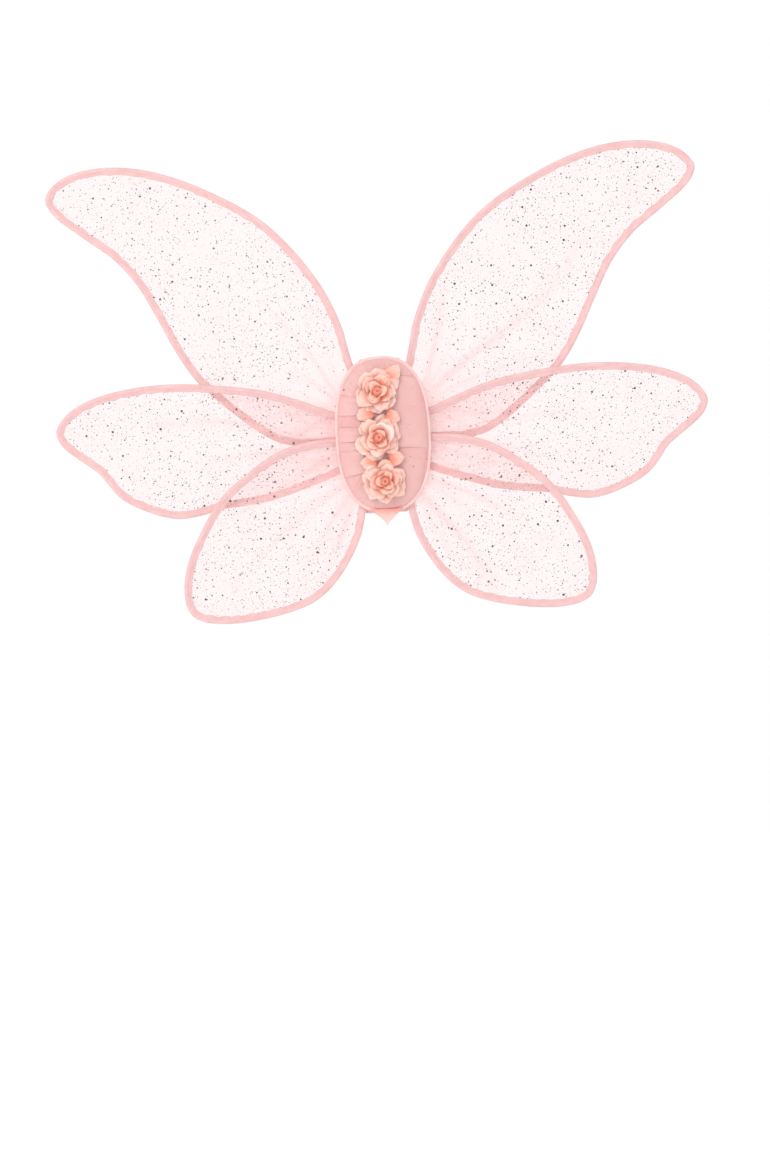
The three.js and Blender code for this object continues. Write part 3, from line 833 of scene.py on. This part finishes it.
for side in SIDES.values():
    for end in (-1, 1):
        low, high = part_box(f"{'left' if side < 0 else 'right'}_strap_tab_{'top' if end > 0 else 'bottom'}")
        near, far = sorted((low.z, high.z), key=abs)
        near, far = near + end * 2 * MM, near + end * 10 * MM
        corners = [(low.x + MM, near), (high.x - MM, near), (high.x - MM, far), (low.x + MM, far)]
        for a, b in ((0, 1), (1, 2), (2, 3), (3, 0), (0, 2), (1, 3)):
            row = [(corners[a][0], 0.05 * MM, corners[a][1]), (corners[b][0], 0.05 * MM, corners[b][1])]
            parts += stitch_row(row, [[0.0, 1.0, 0.0]] * 2, 1.5 * MM, 0.5 * MM, 0.2 * MM)
back_stitches = piece_from("back_pad_stitches", parts, thread)
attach(back_stitches, "hub")
print("back pad:", len(parts), "stitches")

# %% Front pad
PAD_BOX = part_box("front_pad")
PAD_INSET = HUB_HIGH.z - PAD_BOX[1].z
SIMULATED_FRAMES = 20
MOST_SWELLING = 3 * MM


def swell(piece, pressure, voxel):
    """Blows a closed piece up like a cushion, by a limited amount."""
    remesh = piece.modifiers.new("remesh", "REMESH")
    remesh.mode = "VOXEL"
    remesh.voxel_size = voxel
    apply_modifiers(piece)
    before = np.array([v.co for v in piece.data.vertices])
    air = piece.modifiers.new("air", "CLOTH")
    air.settings.use_pressure = True
    air.settings.uniform_pressure_force = pressure
    air.settings.effector_weights.gravity = 0
    for step in range(1, SIMULATED_FRAMES + 1):
        bpy.context.scene.frame_set(step)
    apply_modifiers(piece)
    bpy.context.scene.frame_set(1)
    after = np.array([v.co for v in piece.data.vertices])
    moved = after - before
    far = np.linalg.norm(moved, axis=1)
    after = before + moved * np.minimum(1, MOST_SWELLING / np.maximum(far, 1e-9))[:, None]
    after[:, 1] = np.clip(after[:, 1], PAD_BOX[0].y, PAD_BOX[1].y)
    share = hub_share(after[:, 0], after[:, 2], PAD_INSET)
    after[:, [0, 2]] /= np.maximum(share, 1)[:, None]
    piece.data.vertices.foreach_set("co", after.ravel())
    smooth = piece.modifiers.new("smooth", "SUBSURF")
    smooth.levels = 1
    return apply_modifiers(piece), far.max()


deep = PAD_BOX[1].y - PAD_BOX[0].y
pad_profile = [(PAD_INSET + inset, PAD_BOX[1].y - share * deep)
               for inset, share in ((30 * MM, 0.1), (4 * MM, 0.1), (2.5 * MM, 0.2), (2 * MM, 0.35),
                                    (4 * MM, 0.6), (8 * MM, 0.78), (14 * MM, 0.85), (30 * MM, 0.88))]
front_pad = piece_from("stuffed_front_pad", [grid_data(hub_loft(pad_profile, 120), around=True, caps=True)],
                       None)
front_pad, swollen = swell(front_pad, 4.0, 5 * MM)
front_pad.data.polygons.foreach_set("use_smooth", [True] * len(front_pad.data.polygons))
front_pad.data.materials.clear()
front_pad.data.materials.append(wadding)
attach(front_pad, "hub")
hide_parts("front_pad")
print("front pad swelled by up to", round(swollen / MM, 1), "mm")

# %% [markdown]
# ### Gathered fabric
# A gather is a row of small sharp ridges with soft valleys between them. They start deep at
# the seam that gathers them and fade as the cloth opens out. No two are alike, so each gets
# its own place, strength, width and length from a seeded random stream.


# %% Gathers
def gathers(place, length, spacing, seed, inward=None):
    """Ridge heights, mostly from 0 to 1, at places along a seam of that length that closes
    on itself. inward is how far from the seam each place lies, as a share of the cloth."""
    dice = np.random.default_rng(seed)
    height = np.zeros(np.shape(place))
    for middle in np.arange(0, length, spacing):
        middle += dice.uniform(-0.4, 0.4) * spacing
        width = spacing * dice.uniform(0.16, 0.36)
        strength = dice.uniform(0.35, 1.0)
        reach, drift = dice.uniform(0.15, 0.7), dice.uniform(-0.8, 0.8) * spacing
        away = np.abs((place - middle + length / 2) % length - length / 2)
        if inward is not None:
            away = np.abs((place - middle - drift * inward + length / 2) % length - length / 2)
            strength = strength * np.exp(-(inward / reach) ** 2)
        height = height + strength * np.exp(-away / width)
    return height


def flat_uvs(vertices, faces):
    return [(vertices[i][0], vertices[i][2]) for face in faces for i in face]


# %% Side band
BAND_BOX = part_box("side_band")
BAND_REAR, BAND_FRONT = BACK_FRONT - 0.1 * MM, BAND_BOX[0].y - 0.6 * MM
BAND_INSET = HUB_HIGH.z - BAND_BOX[1].z
BAND_RETURNS = (7 * MM, 5 * MM, 3.2 * MM, 2 * MM)      # turned in at the rear, under the back pad
BAND_ROWS, AROUND = 12, 460
seam = np.linspace(0, RIM_LENGTH, AROUND, endpoint=False)
ridge = gathers(seam, RIM_LENGTH, 4.2 * MM, 31)
oval = hub_rim(BAND_INSET, AROUND)


def band_ring(inset, depth):
    scale = 1 - (inset - BAND_INSET)[:, None] / np.linalg.norm(oval, axis=1)[:, None]
    return [(x, y, z) for (x, z), y in zip(oval * scale, np.broadcast_to(depth, AROUND))]


rows = [band_ring(np.full(AROUND, turn), BAND_REAR + 0.7 * MM * ridge * (turn < 4 * MM))
        for turn in BAND_RETURNS]
for level in np.linspace(0, 1, BAND_ROWS):
    depth = BAND_REAR + level * (BAND_FRONT - BAND_REAR)
    bulge = math.sin(math.pi * level)
    inset = BAND_INSET + 1.3 * MM - (0.25 + 0.75 * bulge) * 0.9 * MM * ridge - 0.5 * MM * bulge
    rows.append(band_ring(inset, depth))
side_band = piece_from("gathered_side_band", [grid_data(rows, around=True)], satin)
thicken(side_band, 0.3 * MM)
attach(side_band, "hub")
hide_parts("side_band")
print("side band:", len(side_band.data.polygons), "faces")

# %% Front cover
COVER_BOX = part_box("front_cover")
COVER_INSET = HUB_HIGH.z - COVER_BOX[1].z
TUCK_INSET = COVER_INSET - 1.6 * MM        # the cover's edge is sewn in under the binding
TUCK_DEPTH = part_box("front_binding")[0].y + 2 * MM
RINGS = 46


def cover_depth(x, z):
    """Depth of the cover's face, full over the pad and falling away at its edge."""
    crown = np.clip(1 - hub_share(x, z, TUCK_INSET) ** 5, 0, 1) ** 0.62
    return TUCK_DEPTH + (COVER_BOX[0].y + 0.2 * MM - TUCK_DEPTH) * crown


oval = hub_rim(TUCK_INSET, AROUND)
seam = np.linspace(0, RIM_LENGTH, AROUND, endpoint=False)
rows = []
for inward in np.linspace(0, 0.97, RINGS) ** 1.15:
    ring = oval * (1 - inward)
    pleats = gathers(seam, RIM_LENGTH, 8.5 * MM, 77, np.full(AROUND, inward))
    rolling = 0.35 * MM * slow_noise(ring, 0.03, 12) * min(1, 6 * inward)
    depth = cover_depth(ring[:, 0], ring[:, 1]) - 0.95 * MM * pleats * min(1, 0.2 + 8 * inward) - rolling
    rows.append(np.stack([ring[:, 0], depth, ring[:, 1]], axis=1))
vertices, faces, _ = grid_data(rows, around=True)
faces.append(list(range(len(vertices) - AROUND, len(vertices))))
front_cover = piece_from("pleated_front_cover", [(vertices, faces, flat_uvs(vertices, faces))], hub_organza)
thicken(front_cover, 0.3 * MM)
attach(front_cover, "hub")
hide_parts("front_cover")
print("front cover:", len(front_cover.data.polygons), "faces")

# %% Rolled binding
BIND_LOW, BIND_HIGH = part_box("front_binding")
BIND_WIDTH, BIND_DEEP = 3.7 * MM, BIND_HIGH.y - BIND_LOW.y
rim = hub_rim(0, AROUND)
tangent = np.roll(rim, -1, axis=0) - np.roll(rim, 1, axis=0)
normal = np.stack([tangent[:, 1], -tangent[:, 0]], axis=1)
normal /= np.linalg.norm(normal, axis=1)[:, None]
seam = np.linspace(0, RIM_LENGTH, AROUND, endpoint=False)
wrinkle = gathers(seam, RIM_LENGTH, 3.4 * MM, 5)
rows = []
for i in range(AROUND):
    ring = []
    for a in np.linspace(0, 2 * math.pi, 18, endpoint=False):
        swell_by = 1 - 0.13 * wrinkle[i] * (0.4 + 0.6 * abs(math.cos(a)))
        across = 0.5 * BIND_WIDTH * math.copysign(abs(math.cos(a)) ** 0.75, math.cos(a)) * swell_by
        deep = 0.5 * BIND_DEEP * math.copysign(abs(math.sin(a)) ** 0.75, math.sin(a)) * swell_by
        x, z = rim[i] + normal[i] * (across - 0.5 * BIND_WIDTH)
        ring.append((x, 0.5 * (BIND_LOW.y + BIND_HIGH.y) + deep, z))
    rows.append(ring)
binding = piece_from("rolled_binding", [grid_data(rows, around=True, along=True)], binding_satin)
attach(binding, "hub")
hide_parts("front_binding")
row = [(x - n[0] * 2.9 * MM, BIND_LOW.y + 0.3 * MM, z - n[1] * 2.9 * MM) for (x, z), n in zip(rim, normal)]
parts = stitch_row(row, np.tile([0.0, -1.0, 0.0], (len(row), 1)), 2.4 * MM, 1.4 * MM, 0.2 * MM)
binding_stitches = piece_from("binding_stitches", parts, thread)
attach(binding_stitches, "hub")
print("binding:", len(parts), "stitches")

# %% [markdown]
# The ends of the wings' organza are folded over the face of the hub and caught under the
# roses. They show as soft bands with a rolled fold at each edge.

# %% Folded bands over the cover
BANDS = [  # name, outer end, inner end, middle height, width, narrowing, seed
    ("upper_left", -41, -6, 28, 20, 0.3, 3), ("middle_left", -42, -4, 2, 14, 0.15, 4),
    ("lower_left", -41, -6, -25, 25, 0.3, 5), ("right", 42, 4, 18, 67, 0.0, 6),
]
for label, outer, inner, height, width, narrowing, seed in BANDS:
    rows = []
    for share in np.linspace(0, 1, 30):
        x = (outer + (inner - outer) * share) * MM
        across = np.linspace(-1, 1, 41)
        narrow = 1 - narrowing * share ** 1.5
        z = (height + 0.5 * width * across * narrow + 1.5 * math.sin(2.4 * share + seed)) * MM
        x = np.full(41, x + 0.0004 * math.sin(5 * share))
        over = np.maximum(hub_share(x, z, TUCK_INSET), 1)
        x, z = x / over, z / over
        pleats = gathers(across + 1 + 0.25 * share * across, 40.0, 0.42, seed)
        roll = np.exp(-((np.abs(across) - 0.93) / 0.06) ** 2)
        tuck = np.clip((1 - np.abs(across)) / 0.1, 0, 1) ** 0.6
        lift = 0.15 + tuck * (0.75 + 0.45 * pleats + 0.7 * roll)
        rows.append(np.stack([x, cover_depth(x, z) - lift * MM, z], axis=1))
    band = piece_from(f"{label}_band", [grid_data(rows)], hub_organza)
    thicken(band, 0.25 * MM)
    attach(band, "hub")
print("bands:", len(BANDS))

# %% [markdown]
# ### Roses
# A fabric rose is made from the middle outward: a strip rolled into a bud, then petals sewn
# round it, each ring opening wider than the one before. A petal is one small surface with
# three habits: it leans out along its length, it cups across its width, and its rim curls
# back. Small random changes to each habit keep the petals from looking stamped.


# %% One petal
def petal_grid(turn, root, lean, length, width, cup, base, dice, rim_curl=40):
    """A petal round the viewer's axis. turn is its direction and lean its two slopes in
    degrees, root its distance from the axis, cup the radius that it wraps round, and base
    its height at the root."""
    rows_count, columns = 15, 17
    ruffle = dice.uniform(0, 2 * math.pi, 3)
    radial = np.array([math.cos(math.radians(turn)), 0, math.sin(math.radians(turn))])
    sideways = np.array([-radial[2], 0, radial[0]])
    toward = np.array([0, -1, 0])
    rows, out, up = [], root, base
    for i in range(rows_count):
        share = i / (rows_count - 1)
        slope = lean[0] + (lean[1] - lean[0]) * share + rim_curl * max(0, share - 0.72) / 0.28
        if i:
            out += length / (rows_count - 1) * math.sin(math.radians(slope))
            up += length / (rows_count - 1) * math.cos(math.radians(slope))
        half = width * (0.36 + 0.64 * math.sin(min(1.0, 1.3 * share + 0.12) * math.pi / 2))
        row = []
        for t in np.linspace(-1, 1, columns):
            drop = 0.3 * share * t ** 4 + 0.05 * share * math.sin(2.5 * t + ruffle[0])
            angle = t * half / cup
            x = cup * math.sin(angle)
            fold = cup * (1 - math.cos(angle))
            wave = 0.06 * length * share ** 2 * math.sin(4.5 * t + ruffle[1]) \
                + 0.035 * length * share * math.sin(9 * t + ruffle[2] + 3 * share)
            slant = math.radians(slope)
            r = out - fold - drop * length * math.sin(slant) + wave * math.cos(slant)
            h = up - drop * length * math.cos(slant) - wave * math.sin(slant) - 0.12 * abs(fold)
            row.append(radial * r + sideways * x + toward * max(h, 0.2 * MM))
        rows.append(row)
    return np.array(rows)


def bud_grid(radius, height, turns, dice):
    """A strip rolled up loosely, wider and lower toward its outer end."""
    rows = []
    for level in np.linspace(0, 1, 13):
        row = []
        for share in np.linspace(0, 1, 64):
            angle = 2 * math.pi * turns * share + 0.5 * level
            r = radius * (0.05 + 0.95 * share) * (0.78 + 0.42 * level ** 3 + 0.03 * math.sin(5 * angle))
            h = height * level * (1 - 0.14 * share + 0.04 * math.sin(3.1 * angle))
            row.append((r * math.cos(angle), -h, r * math.sin(angle)))
        rows.append(row)
    return np.array(rows)


def bud_core(radius, height):
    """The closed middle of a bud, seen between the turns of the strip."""
    return np.array([[(radius * r * math.cos(a), -height * h, radius * r * math.sin(a))
                      for a in np.linspace(0, 2 * math.pi, 24, endpoint=False)]
                     for r, h in ((0.7, 0.0), (0.95, 0.45), (0.9, 0.72), (0.62, 0.86), (0.2, 0.92))])


print("a petal has", petal_grid(0, 1, (0, 1), 1, 1, 1, 0, np.random.default_rng(0)).shape[:2], "points")

# %% Rings of petals
OUTER_RINGS = [  # petals, root, slopes, length, half width, cup, base as shares of the rose
    (6, 0.22, (64, 84), 0.98, 0.54, 0.85, 0.02), (5, 0.18, (36, 78), 0.92, 0.50, 0.62, 0.08)]
INNER_RINGS = [
    (4, 0.16, (14, 66), 0.84, 0.46, 0.44, 0.12), (3, 0.12, (-4, 46), 0.82, 0.38, 0.30, 0.14)]


def follow_dome(grid, centre, height):
    """Lays the low parts of a flower on the domed cover."""
    out = grid + np.array(centre)
    lift = np.clip(1 - (centre[1] - out[..., 1]) / height, 0, 1)
    out[..., 1] += lift * (cover_depth(out[..., 0], out[..., 2]) - cover_depth(centre[0], centre[2]))
    return out


def petal_rings(rings, radius, centre, height, turn, dice):
    parts, area = [], 0
    for count, root, lean, length, half, cup, base in rings:
        for k in range(count):
            lean_by = dice.uniform(-9, 9)
            size = dice.uniform(0.88, 1.06)
            grid = petal_grid(turn + 360 * k / count + dice.uniform(-12, 12), root * radius,
                              (lean[0] + lean_by, lean[1] + lean_by), length * radius * size,
                              half * radius * size, cup * radius * dice.uniform(0.85, 1.2),
                              base * radius, dice)
            parts.append(grid_data(follow_dome(grid, centre, height)))
            area += 1.62 * length * half * (radius * size) ** 2
        turn += 180 / count + 17
    return parts, area


def finish_petals(label, parts, material, node):
    piece = piece_from(label, parts, material, recalculate=False)
    thicken(piece, 0.22 * MM)
    smooth = piece.modifiers.new("smooth", "SUBSURF")
    smooth.levels = 1
    apply_modifiers(piece)
    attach(piece, "hub")
    if node:
        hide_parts(node)
    return piece


for number, label in enumerate(("top", "middle", "bottom")):
    low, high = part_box(f"rose_{label}_outer_petals")
    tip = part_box(f"rose_{label}_bud")[0].y
    centre = ((low.x + high.x) / 2, float(high.y), (low.z + high.z) / 2)
    radius, tall = (high.x - low.x) / 2, high.y - tip
    dice = np.random.default_rng(40 + number)
    turn = (20, 75, -35)[number]
    parts, area = petal_rings(OUTER_RINGS, radius, centre, tall, turn, dice)
    finish_petals(f"{label}_rose_outer_petals", parts, outer_petal_cloth,
                  f"rose_{label}_outer_petals")
    parts, area = petal_rings(INNER_RINGS, radius, centre, tall, turn + 40, dice)
    finish_petals(f"{label}_rose_inner_petals", parts, inner_petal_cloth,
                  f"rose_{label}_inner_petals")
    bud = bud_grid(0.25 * radius, 0.86 * tall, 3.2, dice)
    core = bud_core(0.24 * radius, 0.86 * tall)
    parts = [grid_data(bud + np.array(centre)),
             grid_data(core + np.array(centre), around=True, caps=True)]
    finish_petals(f"{label}_rose_bud", parts, bud_cloth,
                  f"rose_{label}_bud")
    print(label, "rose at", [round(c / MM, 1) for c in centre], "mm")

# %% Curled pale petal over the middle rose
low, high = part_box("rose_middle_outer_petals")
radius = (high.x - low.x) / 2
centre = ((low.x + high.x) / 2, float(high.y), (low.z + high.z) / 2)
grid = petal_grid(40, 0.3 * radius, (8, 62), 0.92 * radius, 0.74 * radius, 0.56 * radius,
                  0.16 * radius, np.random.default_rng(8), rim_curl=95)
pale_petal = piece_from("curled_pale_petal", [grid_data(follow_dome(grid, centre, 17 * MM))],
                        pale_petal_cloth, recalculate=False)
thicken(pale_petal, 0.3 * MM)
smooth = pale_petal.modifiers.new("smooth", "SUBSURF")
smooth.levels = 1
apply_modifiers(pale_petal)
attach(pale_petal, "hub")

# %% Loose petals tucked between the roses
LOOSE_PETALS = [  # across, up, direction, length and half width in millimetres, slopes
    # The first petal lies in the darker strip between the upper and middle left bands; its coral stands
    # partly for a coral petal there and partly for painted shade between the bands.
    (-8, 21, 195, 16, 7, (72, 90)), (3, 17, 335, 14, 8, (60, 92)),
    (4, -24, 10, 14, 8, (60, 92)), (-8, -24, 200, 14, 7, (64, 92)), (6, 50, 40, 16, 8, (66, 90))]
parts = []
dice = np.random.default_rng(90)
for across, up, turn, length, half, lean in LOOSE_PETALS:
    centre = (across * MM, float(cover_depth(across * MM, up * MM)) - 0.6 * MM, up * MM)
    grid = petal_grid(turn, 0.5 * MM, lean, length * MM, half * MM, 9 * MM, 2.2 * MM, dice)
    parts.append(grid_data(follow_dome(grid, centre, 17 * MM)))
finish_petals("loose_petals", parts, outer_petal_cloth, None)

# %% Pointed petal under the hub
low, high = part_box("bottom_petal")
rows = []
for share in np.linspace(0, 1, 24):
    half = 0.52 * (high.x - low.x) * (1 - share) ** 1.25 + 0.1 * MM
    z = high.z + (low.z - high.z) * share
    row = []
    for t in np.linspace(-1, 1, 17):
        swell_by = 1.6 * MM * (1 - t * t) * math.sin(math.pi * min(1, share + 0.15))
        depth = (low.y + high.y) / 2 - swell_by - 0.5 * MM * share * t ** 3
        row.append((half * t, depth, z + MM * t * t * share))
    rows.append(row)
pointed = piece_from("pointed_petal", [grid_data(rows)], pink_petal_cloth, recalculate=False)
thicken(pointed, 0.3 * MM)
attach(pointed, "hub")
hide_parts("bottom_petal")
print("pointed petal from", round(high.z / MM, 1), "to", round(low.z / MM, 1), "mm")

# %% [markdown]
# ## Arm loops
# The loops are flat ribbed elastic. They leave the hub edge-on to the wearer's back and
# swing sideways as the arms go in. Elastic that swings on a sewn end twists there. Each
# loop also has two short end pieces, cut from the ends of the same path, that run from the hub to the loop.

# %% Elastic
STRAP_LEAN = math.radians(4)
STRAP_ROUTE = [  # behind the sewn ends, and up, in millimetres
    (-0.4, 58.0), (-0.2, 63.5), (0, 68.9), (0.3, 69.85), (5, 70.8), (41.4, 67.8), (73.3, 56.8),
    (87, 33.8), (92, 0)]
ELASTIC_THICKNESS = 1.3 * MM
END_LENGTH = 0.026           # of an end piece, from inside the hub


def elastic_grid(path, side, width):
    """A flat band with lengthwise ribs, wound along a path of (behind, up) points."""
    widthways = np.array([math.cos(STRAP_LEAN), -side * math.sin(STRAP_LEAN), 0])
    along = np.gradient(path, axis=0)
    along /= np.linalg.norm(along, axis=1)[:, None]
    section = [(u, 1) for u in np.linspace(-1, 1, 29)] + [(u, -1) for u in np.linspace(1, -1, 29)]
    rows = []
    for point, ahead in zip(path, along):
        up = np.cross(widthways, ahead)
        rows.append([point + widthways * 0.5 * width * u + up * face * 0.5 * ELASTIC_THICKNESS
                     * (0.72 + 0.28 * abs(math.cos(7 * math.pi * u / 2))) * (1 if abs(u) < 1 else 0.5)
                     for u, face in section])
    return rows


for side_name, side in SIDES.items():
    low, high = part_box(f"{side_name}_strap_tab_top")
    anchor = np.array([(low.x + high.x) / 2, (low.y + high.y) / 2, 0])
    width = high.x - low.x
    route = STRAP_ROUTE + [(behind, -up) for behind, up in STRAP_ROUTE[-2::-1]]
    knots = [anchor + MM * np.array([side * math.sin(STRAP_LEAN) * behind,
                                     math.cos(STRAP_LEAN) * behind, up]) for behind, up in route]
    path = smooth_path(knots, 1.6 * MM)
    ends = round(END_LENGTH / (1.6 * MM))
    loop = piece_from(f"{side_name}_elastic_loop", [grid_data(
        elastic_grid(path, side, width)[ends:-ends], around=True, caps=True)], elastic)
    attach(loop, f"{side_name}_strap_loop")
    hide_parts(f"{side_name}_strap")
    for end, part in (("top", elastic_grid(path, side, width)[:ends + 2]),
                      ("bottom", elastic_grid(path, side, width)[-ends - 2:])):
        sign = 1 if end == "top" else -1
        sewn = piece_from(f"{side_name}_elastic_end_{end}",
                          [grid_data(part, around=True, caps=True)], elastic)
        over = anchor + np.array([0, 9 * MM, sign * 72 * MM])
        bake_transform(sewn)
        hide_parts(f"{side_name}_strap_tab_{end}")
    print(side_name, "loop:", round(lengths_along(path, False)[-1], 3), "m of elastic")


# %% [markdown]
# ## The studio
# The floor is a very wide shallow bowl of pale paper: flat under the wings, curving up into
# a wall far behind the camera's path, so that no edge or horizon crosses any view. The
# paper glows a little by itself, which keeps it evenly pale and lights thin cloth from
# behind, as a light table does. A soft key light gives the folds their direction, and a
# weaker one behind the wings picks out their edges.

# %% Floor
FLOOR_Z, FLAT_RADIUS, CURVE, WALL_TOP = -0.66, 4.6, 2.0, 4.0
FLOOR_SIDES = 96
profile = [(0.02, FLOOR_Z), (1.5, FLOOR_Z), (FLAT_RADIUS, FLOOR_Z)]
profile += [(FLAT_RADIUS + CURVE * math.sin(a), FLOOR_Z + CURVE * (1 - math.cos(a)))
            for a in np.radians(range(9, 91, 9))]
profile += [(FLAT_RADIUS + CURVE, WALL_TOP)]
paper, tree, shader = new_material("studio paper", {"Roughness": 0.9, "Base Color": (0.5, 0.5, 0.5, 1),
                                                    "Specular IOR Level": 0.0, "Emission Strength": 0.54,
                                                    "Emission Color": (1, 1, 1, 1)})
turns = np.linspace(0, 2 * math.pi, FLOOR_SIDES, endpoint=False)
bowl = [[(r * math.cos(a), r * math.sin(a), z) for a in turns] for r, z in profile]
vertices, faces, uvs = grid_data(bowl, around=True)
faces.append(list(range(FLOOR_SIDES)))
uvs += [(0.0, 0.0)] * FLOOR_SIDES
floor = piece_from("studio_floor", [(vertices, faces, uvs)], paper)
print("floor:", len(floor.data.polygons), "faces")


# %% Lights
def soft_light(name, place, aim_at, size, power, colour=(1, 1, 1)):
    data = bpy.data.lights.new(name, "AREA")
    data.shape = "DISK"
    data.size = size
    data.energy = power
    data.color = colour
    light = bpy.data.objects.new(name, data)
    light.location = place
    light.rotation_euler = (Vector(aim_at) - Vector(place)).to_track_quat("-Z", "Y").to_euler()
    bpy.context.scene.collection.objects.link(light)


soft_light("key", (-1.3, -2.8, 1.9), (0, 0, 0), 1.2, 34, (1.0, 0.98, 0.96))
soft_light("rim", (1.6, 2.6, 1.6), (0, 0, 0), 1.4, 14)
world = bpy.data.worlds.new("studio")
world.use_nodes = True
world.node_tree.nodes["Background"].inputs["Color"].default_value = (1, 1, 1, 1)
world.node_tree.nodes["Background"].inputs["Strength"].default_value = 0.8
bpy.context.scene.world = world
print("lights: 2")
